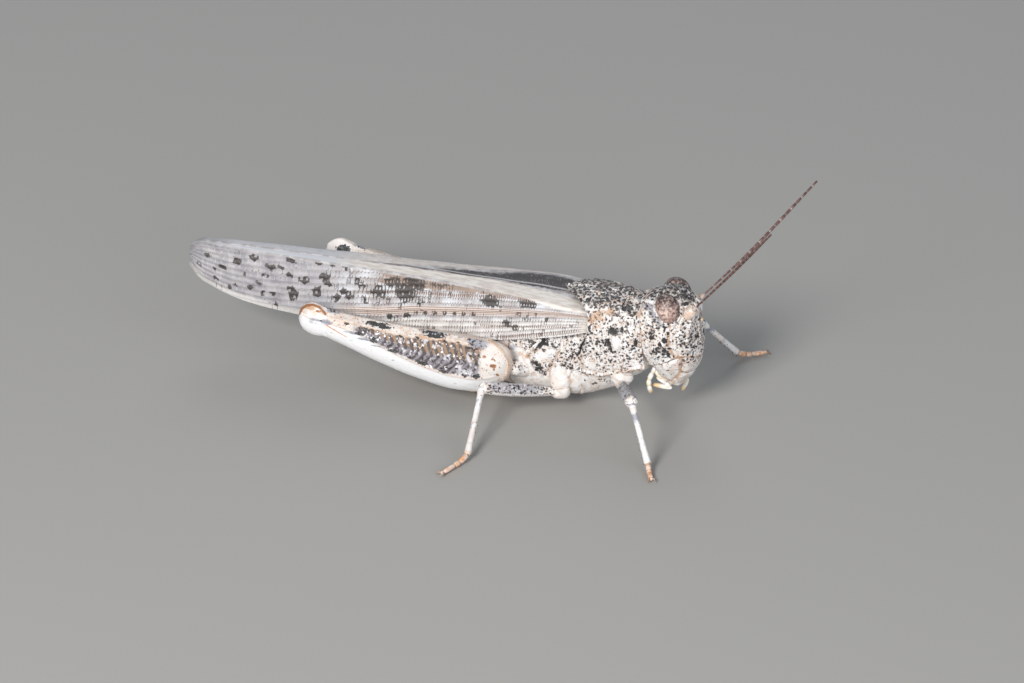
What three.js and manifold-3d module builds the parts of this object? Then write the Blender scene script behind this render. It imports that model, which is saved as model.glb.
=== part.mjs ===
// A band-winged sand grasshopper at rest with its wings folded, life size.
// Millimetres, +Z up. The head looks along +X, and the animal's left side is +Y.
// Every node is a closed solid; neighbours are parted by a thin gap.
import * as THREE from 'three';
import * as BufferGeometryUtils from 'three/addons/utils/BufferGeometryUtils.js';
import Module from 'manifold-3d';

const wasm = await Module();
wasm.setup();

// ---------------------------------------------------------------- driving dimensions

const gap = 0.05; // clearance between neighbouring pieces
const wingThickness = 0.5; // folded tegmen in the solids
const feelerRadius = 0.27; // antenna shaft in the solids
const palpRadius = 0.26;
const tibiaRadius = 0.27; // fore and middle tibiae
const farAway = 60; // reach of the cutting blocks

const bodySides = 16;
const pronotumSides = 20;
const headSides = 18;
const wingSteps = 10;
const legSides = 8;
const femurSides = 12;
const feelerSides = 6;
const eyeSegments = 14;
const eyeRings = 9;
const kneeSegments = 10;
const kneeRings = 7;
const pronotumSteps = 9;
const headSteps = 13;
const femurSteps = 9;
const mergeDistance = 1e-4;

// Trunk, as vertical sections from the neck to the tip of the abdomen.
const trunk = [
  { x: -13.9, halfWidth: 0.45, top: 5.5, bottom: 4.4 },
  { x: -12.4, halfWidth: 1.1, top: 5.9, bottom: 3.0 },
  { x: -9.5, halfWidth: 1.55, top: 6.2, bottom: 1.9 },
  { x: -6.0, halfWidth: 1.8, top: 6.45, bottom: 1.15 },
  { x: -3.2, halfWidth: 2.0, top: 6.6, bottom: 0.85 },
  { x: -1.2, halfWidth: 2.2, top: 6.7, bottom: 0.7 },
  { x: 0.6, halfWidth: 2.2, top: 6.8, bottom: 0.7 },
  { x: 2.2, halfWidth: 1.98, top: 7.0, bottom: 0.95 },
  { x: 3.8, halfWidth: 1.75, top: 7.3, bottom: 1.65 },
  { x: 6.2, halfWidth: 1.45, top: 7.6, bottom: 3.5 },
];
const trunkSquareness = 2.35;
const trunkSteps = 16;
const abdomenCuts = [-2.7, -4.9, -7.1, -9.3, -11.4]; // between thorax and the five lengths
const prothoraxBack = 1.95;

// Pronotum, as vertical sections; the sides hang as lateral lobes.
const pronotumSections = [
  { x: 0.0, halfWidth: 1.95, top: 7.88, bottom: 1.5, squareness: 3.1 },
  { x: 1.4, halfWidth: 2.22, top: 8.04, bottom: 1.5, squareness: 3.1 },
  { x: 2.8, halfWidth: 2.32, top: 8.12, bottom: 1.5, squareness: 2.8 },
  { x: 4.2, halfWidth: 2.22, top: 8.08, bottom: 1.6, squareness: 2.45 },
  { x: 5.2, halfWidth: 2.12, top: 8.06, bottom: 1.8, squareness: 2.3 },
  { x: 6.4, halfWidth: 2.08, top: 8.06, bottom: 2.0, squareness: 2.3 },
];
const collarTop = { x: 5.3, z: 8.6 }; // front margin of the pronotum, leaning forward
const collarBottom = { x: 6.05, z: 3.6 };
const pronotumApex = 0.35; // rear point of the disc
const shoulder = { x: 2.35, y: 2.0, z: 6.3 }; // where disc margin and lobe margin meet

// Head, as horizontal sections from the lip to the vertex.
const headLevels = [
  { z: 2.25, back: 7.1, front: 7.95, halfWidth: 0.55 },
  { z: 2.75, back: 6.55, front: 8.3, halfWidth: 1.05 },
  { z: 3.4, back: 6.2, front: 8.68, halfWidth: 1.5 },
  { z: 4.2, back: 5.7, front: 8.96, halfWidth: 1.88 },
  { z: 5.1, back: 5.1, front: 9.04, halfWidth: 2.06 },
  { z: 6.2, back: 4.8, front: 8.93, halfWidth: 2.06 },
  { z: 7.2, back: 4.7, front: 8.82, halfWidth: 1.88 },
  { z: 7.75, back: 4.9, front: 8.82, halfWidth: 1.58 },
  { z: 8.1, back: 5.3, front: 8.6, halfWidth: 1.32 },
  { z: 8.38, back: 5.9, front: 8.2, halfWidth: 1.05 },
  { z: 8.6, back: 6.6, front: 7.7, halfWidth: 0.7 },
];
const headSquareness = 2.5;
const headWidest = 0.42; // share of the way from back to front where the head is widest
const cheekRim = [[5.9, 3.95], [7.8, 5.0], [9.4, 5.25]]; // lower rim of the cheeks, neck to face, as x and z
const jawSplit = [[8.0, 5.3], [7.3, 2.1]]; // plane between the lip plate and the jaws, as x and z
const eye = { x: 7.13, y: 1.25, z: 8.02, halfLength: 0.75, halfWidth: 0.66, halfHeight: 0.91, lean: 0.4 };

// Folded forewing: the ridge parts the flat dorsal field from the side field.
const tegmenSections = [
  { x: -24.0, crest: 6.9, ridgeY: 0.12, ridgeZ: 6.85, edgeY: 0.5, edgeZ: 6.0 },
  { x: -23.4, crest: 7.3, ridgeY: 0.22, ridgeZ: 7.24, edgeY: 0.72, edgeZ: 5.2 },
  { x: -22.2, crest: 7.4, ridgeY: 0.35, ridgeZ: 7.36, edgeY: 0.95, edgeZ: 4.62 },
  { x: -20.0, crest: 7.46, ridgeY: 0.5, ridgeZ: 7.42, edgeY: 1.3, edgeZ: 4.15 },
  { x: -16.5, crest: 7.54, ridgeY: 0.7, ridgeZ: 7.48, edgeY: 1.7, edgeZ: 4.0 },
  { x: -12.0, crest: 7.62, ridgeY: 0.95, ridgeZ: 7.56, edgeY: 1.95, edgeZ: 4.1 },
  { x: -7.5, crest: 7.7, ridgeY: 1.22, ridgeZ: 7.62, edgeY: 2.2, edgeZ: 4.35 },
  { x: -3.2, crest: 7.76, ridgeY: 1.6, ridgeZ: 7.66, edgeY: 2.4, edgeZ: 4.8 },
  { x: -0.5, crest: 7.76, ridgeY: 1.84, ridgeZ: 7.62, edgeY: 2.45, edgeZ: 5.45 },
  { x: 2.1, crest: 7.5, ridgeY: 1.86, ridgeZ: 7.4, edgeY: 2.4, edgeZ: 6.3 },
];
const wingTip = tegmenSections[0].x;
const wingRoot = tegmenSections.at(-1).x;
const hindwingTip = -20;
const hindwingRoot = -0.6;
const solidTipLength = 1.6; // the outermost part of each wing, where its two faces meet

// Outline of one wing's section: shares of the way from crest to ridge and from ridge to lower edge.
const wingCamber = {
  dorsal: { across: 0.72, down: 0.6 },
  ridgeDrop: 0.12,
  upper: { across: 0.42, down: 0.32, bulge: 0.1 },
  lower: { across: 0.8, down: 0.7, bulge: 0.06 },
  ridgeShrink: 0.75, // how much of a skin's inward shift the ridge takes
};

// Hind leg, right side; y is counted outward. The femur is deep and flat, and the tibia lies under it.
const hindFemur = [
  { x: -2.35, y: 2.95, z: 3.45, halfHeight: 0.75, halfWidth: 0.5 },
  { x: -3.3, y: 3.15, z: 3.36, halfHeight: 1.62, halfWidth: 0.85 },
  { x: -5.2, y: 3.25, z: 3.3, halfHeight: 1.86, halfWidth: 0.98 },
  { x: -8.0, y: 3.35, z: 3.56, halfHeight: 1.7, halfWidth: 0.92 },
  { x: -10.8, y: 3.45, z: 4.06, halfHeight: 1.33, halfWidth: 0.78 },
  { x: -13.2, y: 3.5, z: 4.6, halfHeight: 0.98, halfWidth: 0.62 },
  { x: -14.9, y: 3.5, z: 4.82, halfHeight: 0.8, halfWidth: 0.5 },
];
const femurSquareness = 2.1;
const hindKnee = { x: -14.75, y: 3.5, z: 4.82, radius: 0.98, halfWidth: 0.6 };
const hindTibia = { from: [-14.6, 3.25, 4.3], to: [-5.8, 1.3, 0.66], radius: 0.36 };
const hindTarsus = { from: [-5.9, 1.3, 0.45], bend: [-5.0, 1.15, 0.2], to: [-3.0, 1.0, 0.18] };
const hindTarsusRadii = [0.3, 0.27];
const hindCoxa = { from: [-1.35, 1.7, 2.5], to: [-2.45, 2.75, 3.2], radius: 0.85 };
const tibiaWaist = 0.85; // middle of the tibia against its ends
const coxaTaper = 0.75;
// The left knee is carried farther back and higher than the right one.
const kneeCarry = { left: { back: 0.55, up: 0.8 }, right: { back: 0, up: 0 } };

// Walking legs; each runs from its root over hip, knee and ankle to the claws, with y counted outward.
const legRoutes = {
  fore_right: {
    side: -1,
    root: [4.5, 1.5, 3.6],
    hip: [4.35, 1.75, 2.75],
    knee: [6.15, 5.6, 3.75],
    ankle: [7.62, 7.0, 0.45],
    claw: [8.15, 8.15, 0.16],
  },
  fore_left: {
    side: 1,
    root: [4.5, 1.5, 3.6],
    hip: [4.35, 1.75, 2.75],
    knee: [7.6, 4.9, 3.9],
    ankle: [9.3, 7.6, 0.45],
    claw: [10.95, 8.7, 0.16],
  },
  mid_right: {
    side: -1,
    root: [0.35, 1.7, 3.4],
    hip: [0.75, 1.9, 1.45],
    knee: [-3.5, 4.95, 2.75],
    ankle: [-3.15, 9.1, 0.45],
    claw: [-4.2, 11.3, 0.16],
  },
  mid_left: {
    side: 1,
    root: [0.35, 1.7, 3.4],
    hip: [0.75, 1.9, 1.45],
    knee: [-2.9, 5.3, 2.75],
    ankle: [-3.0, 9.2, 0.45],
    claw: [-4.4, 11.1, 0.16],
  },
};
const walkingLeg = {
  rootRadius: 0.5,
  hipRadius: 0.62,
  hipEndRadius: 0.42,
  femurRootRadius: 0.37,
  thighRadius: 0.46,
  kneeRadius: 0.3,
  footRadius: 0.28,
  femurRoot: 0.08, // places along the thigh, as shares of the way from hip to knee
  thickest: 0.55,
  footBend: 0.3, // share of the foot that comes down from the ankle
  footLift: 0.04,
};

// Feelers, from the face to the tip.
const antennaBase = { x: 8.62, y: 0.86, z: 7.6 };
const antennaTips = {
  right: { bend: [11.0, -1.9, 11.2], tip: [14.2, -4.2, 15.9] },
  left: { bend: [10.9, 3.2, 10.1], tip: [14.15, 7.2, 13.6] },
};
const scape = { length: 0.85, radius: 0.36, rootDepth: 0.5, overlap: 0.1 };

// Jaw feelers of the right side, from root to tip.
const palpRoutes = {
  maxillary_palp: [[6.4, 1.1, 3.8], [6.06, 1.3, 3.0], [6.14, 1.25, 1.95]],
  labial_palp: [[7.2, 0.75, 2.9], [6.8, 0.85, 2.62], [6.2, 0.85, 2.4]],
};

// ---------------------------------------------------------------- colours

const ivory = { color: 0xe9e2d6, roughness: 0.62 };
const speckled = { color: 0xb9aea4, roughness: 0.65 };
const shell = { color: 0xd8cfc4, roughness: 0.6 };
const membrane = { color: 0xb8b0aa, roughness: 0.5 };
const eyeBrown = { color: 0x9a6f63, roughness: 0.3 };
const redBrown = { color: 0x4a2a26, roughness: 0.5 };
const footTan = { color: 0xc99a72, roughness: 0.55 };
const tan = { color: 0xd9c3a0, roughness: 0.5 };

// ---------------------------------------------------------------- shape helpers

/** Values between named stations: a smooth curve through the stations of one list. */
function alongStations(stations, axis) {
  const names = Object.keys(stations[0]).filter((name) => name !== axis);
  const positions = stations.map((station) => station[axis]);
  const values = stations.flatMap((station) => names.map((name) => station[name]));
  const curve = new THREE.CubicInterpolant(positions, values, names.length, new Float32Array(names.length));
  return (position) => {
    const found = curve.evaluate(position);
    return Object.fromEntries(names.map((name, index) => [name, found[index]]));
  };
}

/** A point of a rounded-square outline; squareness 2 is an ellipse. */
function roundedPoint(angle, squareness) {
  const bend = (value) => Math.sign(value) * Math.abs(value) ** (2 / squareness);
  return { across: bend(Math.cos(angle)), up: bend(Math.sin(angle)) };
}

/** Closed skin over a row of rings that all have the same number of points. */
function loft(rings) {
  const count = rings[0].length;
  const positions = rings.flat().flatMap((point) => [point.x, point.y, point.z]);
  const index = [];
  for (let ring = 0; ring + 1 < rings.length; ring++) {
    for (let side = 0; side < count; side++) {
      const a = ring * count + side;
      const b = ring * count + ((side + 1) % count);
      index.push(a, b, a + count, b, b + count, a + count);
    }
  }
  const sum = (ring) => ring.reduce((total, point) => total.add(point), new THREE.Vector3());
  const centre = (ring) => sum(ring).divideScalar(count);
  const addCap = (ring, first, reversed) => {
    const hub = positions.length / 3;
    positions.push(...centre(ring).toArray());
    for (let side = 0; side < count; side++) {
      const a = first + side;
      const b = first + ((side + 1) % count);
      index.push(...(reversed ? [hub, b, a] : [hub, a, b]));
    }
  };
  addCap(rings[0], 0, true);
  addCap(rings.at(-1), (rings.length - 1) * count, false);
  const geometry = new THREE.BufferGeometry();
  geometry.setAttribute('position', new THREE.Float32BufferAttribute(positions, 3));
  geometry.setIndex(index);
  return facingOut(geometry);
}

/** Turns a closed mesh's faces outward. */
function facingOut(geometry) {
  const points = geometry.attributes.position;
  const index = Array.from(geometry.index.array);
  const corner = (number) => new THREE.Vector3().fromBufferAttribute(points, number);
  let volume = 0;
  for (let i = 0; i < index.length; i += 3) {
    volume += corner(index[i]).dot(corner(index[i + 1]).cross(corner(index[i + 2])));
  }
  if (volume < 0) {
    geometry.setIndex(index.reverse());
  }
  return geometry;
}

/** A closed geometry as a solid that can be cut and joined. */
function solid(source) {
  const bare = new THREE.BufferGeometry();
  bare.setAttribute('position', source.attributes.position.clone());
  bare.setIndex(source.index.clone());
  const merged = BufferGeometryUtils.mergeVertices(bare, mergeDistance);
  const mesh = new wasm.Mesh({
    numProp: 3,
    vertProperties: new Float32Array(merged.attributes.position.array),
    triVerts: new Uint32Array(merged.index.array),
  });
  return new wasm.Manifold(mesh);
}

/** A solid back as a geometry. */
function geometryOf(body) {
  const mesh = body.getMesh();
  const geometry = new THREE.BufferGeometry();
  geometry.setAttribute('position', new THREE.BufferAttribute(new Float32Array(mesh.vertProperties), 3));
  geometry.setIndex(new THREE.BufferAttribute(new Uint32Array(mesh.triVerts), 1));
  return geometry;
}

/** A block between two corners. */
function block(low, high) {
  const size = high.map((value, axis) => value - low[axis]);
  const box = new THREE.BoxGeometry(...size);
  box.translate(...high.map((value, axis) => (value + low[axis]) / 2));
  return solid(box);
}

/** A flat outline in the XZ plane, extruded along Y over the whole width. */
function sidePrism(outline) {
  const shape = new THREE.Shape(outline.map(([x, z]) => new THREE.Vector2(x, z)));
  const prism = new THREE.ExtrudeGeometry(shape, { depth: farAway, bevelEnabled: false, curveSegments: 6 });
  prism.rotateX(Math.PI / 2);
  prism.translate(0, farAway / 2, 0);
  return solid(indexed(prism));
}

/** A flat outline in the XY plane, extruded up from a level. */
function upPrism(outline, level) {
  const shape = new THREE.Shape(outline.map(([x, y]) => new THREE.Vector2(x, y)));
  const prism = new THREE.ExtrudeGeometry(shape, { depth: farAway, bevelEnabled: false });
  prism.translate(0, 0, level);
  return solid(indexed(prism));
}

/** A geometry whose doubled points are merged, so that its faces share them. */
function indexed(geometry) {
  const bare = new THREE.BufferGeometry();
  bare.setAttribute('position', geometry.attributes.position);
  return BufferGeometryUtils.mergeVertices(bare, mergeDistance);
}

/** A limb: a round bar along a path whose radii change from point to point, grown by a clearance. */
function limb(points, radii, { sides = legSides, steps = 2, grow = 0 } = {}) {
  const knots = points.map((point) => new THREE.Vector3(...point));
  const path = new THREE.CatmullRomCurve3(knots, false, 'centripetal');
  const { tangents, normals, binormals } = path.computeFrenetFrames(steps);
  const rings = [];
  for (let step = 0; step <= steps; step++) {
    const share = step / steps;
    const centre = path.getPointAt(share);
    const overrun = step === 0 ? -grow : 0;
    centre.addScaledVector(tangents[step], step === steps ? grow : overrun);
    const place = share * (radii.length - 1);
    const before = Math.min(Math.floor(place), radii.length - 2);
    const radius = grow + THREE.MathUtils.lerp(radii[before], radii[before + 1], place - before);
    const ring = [];
    for (let side = 0; side < sides; side++) {
      const angle = (2 * Math.PI * (side + 0.5)) / sides;
      const point = centre.clone();
      point.addScaledVector(normals[step], radius * Math.cos(angle));
      point.addScaledVector(binormals[step], radius * Math.sin(angle));
      ring.push(point);
    }
    rings.push(ring);
  }
  return solid(loft(rings));
}

/** Mirror image on the animal's other side; y counted outward becomes y of that side. */
const onSide = (side) => ([x, y, z]) => [x, side * y, z];

// ---------------------------------------------------------------- trunk

/** The whole trunk, grown outward by a clearance. */
function trunkSolid(grow) {
  const at = alongStations(trunk, 'x');
  const rings = [];
  for (let step = 0; step <= trunkSteps; step++) {
    const x = THREE.MathUtils.lerp(trunk[0].x, trunk.at(-1).x, step / trunkSteps);
    const { halfWidth, top, bottom } = at(x);
    const ring = [];
    for (let side = 0; side < bodySides; side++) {
      const { across, up } = roundedPoint((2 * Math.PI * side) / bodySides, trunkSquareness);
      const middle = (top + bottom) / 2;
      const halfHeight = (top - bottom) / 2;
      ring.push(new THREE.Vector3(x, (halfWidth + grow) * across, middle + (halfHeight + grow) * up));
    }
    rings.push(ring);
  }
  return solid(loft(rings));
}

/** Everything in front of the pronotum's leaning front margin, moved by a clearance. */
function inFrontOfCollar(clearance) {
  const slope = (collarTop.x - collarBottom.x) / (collarTop.z - collarBottom.z);
  const edge = (z) => collarBottom.x + slope * (z - collarBottom.z) + clearance;
  return sidePrism([[edge(-20), -20], [farAway, -20], [farAway, 30], [edge(30), 30]]);
}

// ---------------------------------------------------------------- pronotum

/** The saddle's full body between its rear and front margins, lobes cut to their outline. */
function pronotumSolid() {
  const at = alongStations(pronotumSections, 'x');
  const rings = [];
  for (let step = 0; step <= pronotumSteps; step++) {
    const x = THREE.MathUtils.lerp(pronotumApex - 0.3, pronotumSections.at(-1).x, step / pronotumSteps);
    const { halfWidth, top, bottom, squareness } = at(x);
    const ring = [];
    for (let side = 0; side < pronotumSides; side++) {
      const { across, up } = roundedPoint((2 * Math.PI * side) / pronotumSides, squareness);
      ring.push(new THREE.Vector3(x, halfWidth * across, (top + bottom) / 2 + ((top - bottom) / 2) * up));
    }
    rings.push(ring);
  }
  const lobeOutline = sidePrism([
    [-1, 9.5], [-1, shoulder.z - 0.05], [shoulder.x, shoulder.z - 0.05], [2.2, 5.0],
    [1.45, 3.9], [1.6, 3.4], [3.2, 3.14], [4.9, 3.7], [7.5, 4.55], [7.5, 9.5],
  ]);
  const behindDisc = upPrism(
    [[pronotumApex, 0], [shoulder.x, shoulder.y], [shoulder.x, 9], [-farAway, 9],
      [-farAway, -9], [shoulder.x, -9], [shoulder.x, -shoulder.y]],
    shoulder.z,
  );
  return solid(loft(rings)).intersect(lobeOutline).subtract(behindDisc).subtract(inFrontOfCollar(0));
}

// ---------------------------------------------------------------- head

/** The head with its cheeks, lip and jaws still in one, cut where the pronotum takes over. */
function headSolid() {
  const at = alongStations(headLevels, 'z');
  const rings = [];
  const lowest = headLevels[0].z;
  const highest = headLevels.at(-1).z;
  for (let step = 0; step <= headSteps; step++) {
    const z = THREE.MathUtils.lerp(lowest, highest, Math.sin((Math.PI / 2) * (step / headSteps)));
    const { back, front, halfWidth } = at(z);
    const widest = THREE.MathUtils.lerp(back, front, headWidest);
    const ring = [];
    for (let side = 0; side < headSides; side++) {
      const { across, up } = roundedPoint((2 * Math.PI * side) / headSides, headSquareness);
      const reach = up > 0 ? front - widest : widest - back;
      ring.push(new THREE.Vector3(widest + up * reach, halfWidth * across, z));
    }
    rings.push(ring);
  }
  return solid(loft(rings)).intersect(inFrontOfCollar(gap));
}

/** Room below the rising lower rim of the cheeks, less a clearance. */
function belowCheeks(clearance) {
  const rim = cheekRim.map(([x, z]) => [x, z - clearance]);
  return sidePrism([[0, rim[0][1]], ...rim, [20, rim.at(-1)[1]], [20, -20], [0, -20]]);
}

/** Room in front of the plane between lip plate and jaws, less a clearance. */
function inFrontOfJaws(clearance) {
  const edge = jawSplit.map(([x, z]) => [x + clearance, z]);
  return sidePrism([...edge, [20, edge[1][1]], [20, edge[0][1]]]);
}

/** One eye, its top leaning toward the middle, grown by a clearance. */
function eyeSolid(side, grow) {
  const ball = new THREE.SphereGeometry(1, eyeSegments, eyeRings);
  ball.scale(eye.halfLength + grow, eye.halfWidth + grow, eye.halfHeight + grow);
  ball.rotateX(side * eye.lean);
  ball.translate(eye.x, side * eye.y, eye.z);
  return solid(ball);
}

/** One feeler: a thick root joint and a shaft that bends once, grown by a clearance. */
function antennaSolid(side, tips, grow) {
  const start = new THREE.Vector3(antennaBase.x, side * antennaBase.y, antennaBase.z);
  const bend = new THREE.Vector3(...tips.bend);
  const direction = bend.clone().sub(start).normalize();
  const scapeEnd = start.clone().addScaledVector(direction, scape.length);
  const root = start.clone().addScaledVector(direction, -scape.rootDepth);
  const clubRadii = [scape.radius, scape.radius, feelerRadius];
  const club = limb([root.toArray(), scapeEnd.toArray()], clubRadii, { steps: 2, grow });
  const shaftStart = start.clone().addScaledVector(direction, scape.length - scape.overlap);
  const shaftPath = [shaftStart.toArray(), tips.bend, tips.tip];
  const shaft = limb(shaftPath, [feelerRadius, feelerRadius], { sides: feelerSides, steps: 8, grow });
  return club.add(shaft);
}

// ---------------------------------------------------------------- wings

/**
 * The room under one side of the folded wings' roof, down to the wing's lower edge.
 * A shift moves its skin inward; an inner room reaches past the midline, the edge and the root.
 */
function roofRoom(side, shift, isInner) {
  const midline = isInner ? -0.5 : gap / 2;
  const between = THREE.MathUtils.lerp;
  const { dorsal, ridgeDrop, upper, lower, ridgeShrink } = wingCamber;
  const rings = wingStations().map(({ x, crest, ridgeY, ridgeZ, edgeY, edgeZ }) => {
    const ridgeIn = shift * ridgeShrink;
    const outline = [
      [midline, crest - shift],
      [(ridgeY - ridgeIn) * dorsal.across, between(crest, ridgeZ, dorsal.down) - shift],
      [ridgeY - ridgeIn, ridgeZ - ridgeDrop - ridgeIn],
      [between(ridgeY, edgeY, upper.across) + upper.bulge - shift, between(ridgeZ, edgeZ, upper.down)],
      [between(ridgeY, edgeY, lower.across) + lower.bulge - shift, between(ridgeZ, edgeZ, lower.down)],
      [edgeY - shift, edgeZ],
    ];
    const openBelow = [[edgeY - shift, edgeZ - 1], [midline, edgeZ - 1]];
    outline.push(...(isInner ? openBelow : [[midline, edgeZ]]));
    return outline.map(([y, z]) => new THREE.Vector3(x, side * Math.max(y, midline), z));
  });
  if (isInner) {
    const beyond = new THREE.Vector3(1, 0, 0);
    rings.push(rings.at(-1).map((point) => point.clone().add(beyond)));
    rings.unshift(rings[0].map((point) => point.clone().sub(beyond)));
  }
  return solid(loft(rings));
}

/** Sections of the folded forewing from its tip to its root, closer together near the tip. */
function wingStations() {
  const at = alongStations(tegmenSections, 'x');
  const sections = [];
  for (let step = 0; step <= wingSteps; step++) {
    const x = THREE.MathUtils.lerp(wingTip, wingRoot, (step / wingSteps) ** 1.25);
    sections.push({ x, ...at(x) });
  }
  return sections;
}

/** One wing of the roof: the band between two skins, from its tip to its base. */
function wingSolid(side, outerShift, innerShift, tip, base) {
  const length = block([tip, -9, 0], [base, 9, 20]);
  const hollow = block([tip + solidTipLength, -9, 0], [farAway, 9, 20]);
  return roofRoom(side, outerShift, false)
    .intersect(length)
    .subtract(roofRoom(side, innerShift, true).intersect(hollow));
}

/** Space on one side that the trunk leaves to the folded wings. */
function wingSpace(side, shift) {
  const rings = wingStations().map(({ x, edgeZ }) => {
    const floor = edgeZ - gap;
    const outline = [[-0.01, floor], [9, floor], [9, 20], [-0.01, 20]];
    return outline.map(([y, z]) => new THREE.Vector3(x, side * y, z));
  });
  rings.push(rings.at(-1).map((point) => point.clone().setX(wingRoot + gap)));
  return solid(loft(rings)).subtract(roofRoom(side, shift, true));
}

// ---------------------------------------------------------------- legs

/** The pieces of one walking leg: hip, thigh, shin and foot, each grown by a clearance. */
function walkingLegSolids({ side, root, hip, knee, ankle, claw }, grow) {
  const place = onSide(side);
  const { rootRadius, hipRadius, hipEndRadius } = walkingLeg;
  const { femurRootRadius, thighRadius, kneeRadius, footRadius } = walkingLeg;
  const towardKnee = (share) => hip.map((value, axis) => THREE.MathUtils.lerp(value, knee[axis], share));
  const thighPath = [towardKnee(walkingLeg.femurRoot), towardKnee(walkingLeg.thickest), knee];
  const footPath = [ankle, footBend(ankle, claw), claw];
  return {
    coxa: limb([root, hip].map(place), [rootRadius, hipRadius, hipEndRadius], { grow, steps: 3 }),
    femur: limb(thighPath.map(place), [femurRootRadius, thighRadius, kneeRadius], { grow, steps: 4 }),
    tibia: limb([knee, ankle].map(place), [kneeRadius, tibiaRadius, tibiaRadius], { grow }),
    tarsus: limb(footPath.map(place), [footRadius, footRadius], { grow, steps: 3 }),
  };
}

/** The foot comes down steeply from the ankle and then lies along the ground. */
function footBend(ankle, claw) {
  const share = walkingLeg.footBend;
  return [
    THREE.MathUtils.lerp(ankle[0], claw[0], share),
    THREE.MathUtils.lerp(ankle[1], claw[1], share),
    claw[2] + walkingLeg.footLift,
  ];
}

/** The pieces of one hind leg, grown by a clearance; its knee end is carried back and up. */
function hindLegSolids(side, { back, up }, grow) {
  const place = onSide(side);
  const hipX = hindFemur[0].x;
  const carried = ([x, y, z]) => {
    const share = THREE.MathUtils.clamp((hipX - x) / (hipX - hindKnee.x), 0, 1);
    return place([x - back * share, y, z + up * share]);
  };
  const at = alongStations([...hindFemur].reverse(), 'x');
  const rings = [];
  for (let step = 0; step <= femurSteps; step++) {
    const x = THREE.MathUtils.lerp(hipX + grow, hindFemur.at(-1).x, step / femurSteps);
    const { y, z, halfHeight, halfWidth } = at(x);
    const ring = [];
    for (let corner = 0; corner < femurSides; corner++) {
      const { across, up: upward } = roundedPoint((2 * Math.PI * corner) / femurSides, femurSquareness);
      const outward = y + (halfWidth + grow) * across;
      ring.push(new THREE.Vector3(...carried([x, outward, z + (halfHeight + grow) * upward])));
    }
    rings.push(ring);
  }
  const knee = new THREE.SphereGeometry(1, kneeSegments, kneeRings);
  knee.scale(hindKnee.radius + grow, hindKnee.halfWidth + grow, hindKnee.radius + grow);
  knee.translate(...carried([hindKnee.x, hindKnee.y, hindKnee.z]));
  const { radius } = hindTibia;
  const tibiaPath = [carried(hindTibia.from), place(hindTibia.to)];
  const tarsusPath = [hindTarsus.from, hindTarsus.bend, hindTarsus.to].map(place);
  const coxaRadii = [hindCoxa.radius, hindCoxa.radius * coxaTaper];
  return {
    coxa: limb([hindCoxa.from, hindCoxa.to].map(place), coxaRadii, { grow }),
    femur: solid(loft(rings)).add(solid(knee)),
    tibia: limb(tibiaPath, [radius, radius * tibiaWaist, radius], { grow, steps: 4 }),
    tarsus: limb(tarsusPath, hindTarsusRadii, { grow, steps: 4 }),
  };
}

// ---------------------------------------------------------------- assembly

const grasshopper = new THREE.Group();

/** Adds a solid as a named node, without the slivers that cutting may leave. */
function addNode(name, body, finish) {
  const pieces = body.decompose().sort((a, b) => b.volume() - a.volume());
  const material = new THREE.MeshStandardMaterial({ ...finish, metalness: 0 });
  const mesh = new THREE.Mesh(geometryOf(pieces[0]), material);
  mesh.name = name;
  grasshopper.add(mesh);
}

const sides = { left: 1, right: -1 };
const ground = block([-farAway, -farAway, -farAway], [farAway, farAway, 0]);

// Legs come first, because the trunk leaves them room.
const legs = [];
for (const [name, route] of Object.entries(legRoutes)) {
  legs.push({ name, pieces: walkingLegSolids(route, 0), room: walkingLegSolids(route, gap) });
}
for (const [name, side] of Object.entries(sides)) {
  const carry = kneeCarry[name];
  const pieces = hindLegSolids(side, carry, 0);
  legs.push({ name: `hind_${name}`, pieces, room: hindLegSolids(side, carry, gap) });
}
for (const { name, pieces, room } of legs) {
  addNode(`${name}_coxa`, pieces.coxa, ivory);
  addNode(`${name}_femur`, pieces.femur.subtract(room.coxa).subtract(room.tibia), speckled);
  addNode(`${name}_tibia`, pieces.tibia, ivory);
  addNode(`${name}_tarsus`, pieces.tarsus.subtract(room.tibia).subtract(ground), footTan);
}
const withHipRoom = (body) => legs.reduce((rest, { room }) => rest.subtract(room.coxa), body);

// Trunk: the prothorax core, the winged thorax and the abdomen in lengths.
const wingRoom = Object.values(sides).map((side) => wingSpace(side, 2 * wingThickness + 2 * gap));
let trunkBody = withHipRoom(trunkSolid(0));
trunkBody = wingRoom.reduce((rest, room) => rest.subtract(room), trunkBody);
const slice = (fromX, toX) => trunkBody.intersect(block([fromX, -9, -9], [toX, 9, 20]));
addNode('prothorax', slice(prothoraxBack + gap, farAway).subtract(inFrontOfCollar(0)), ivory);
addNode('pterothorax', slice(abdomenCuts[0], prothoraxBack), speckled);
abdomenCuts.forEach((frontX, index) => {
  const backX = abdomenCuts[index + 1] ?? -farAway;
  addNode(`abdomen_${index + 1}`, slice(backX, frontX - gap), shell);
});

// Wings: hindwings lie folded under the forewings.
for (const [name, side] of Object.entries(sides)) {
  const under = wingThickness + gap;
  addNode(`tegmen_${name}`, wingSolid(side, 0, wingThickness, wingTip, wingRoot), membrane);
  const folded = wingSolid(side, under, under + wingThickness, hindwingTip, hindwingRoot);
  addNode(`hindwing_${name}`, folded, membrane);
}

// Pronotum, over the prothorax and the wing roots.
let saddle = withHipRoom(pronotumSolid()).subtract(trunkSolid(gap));
for (const side of Object.values(sides)) {
  const roots = block([wingRoot - 5, -9, 0], [wingRoot + gap, 9, 20]);
  saddle = saddle.subtract(roofRoom(side, -gap, true).intersect(roots));
}
addNode('pronotum', saddle, speckled);

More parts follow.
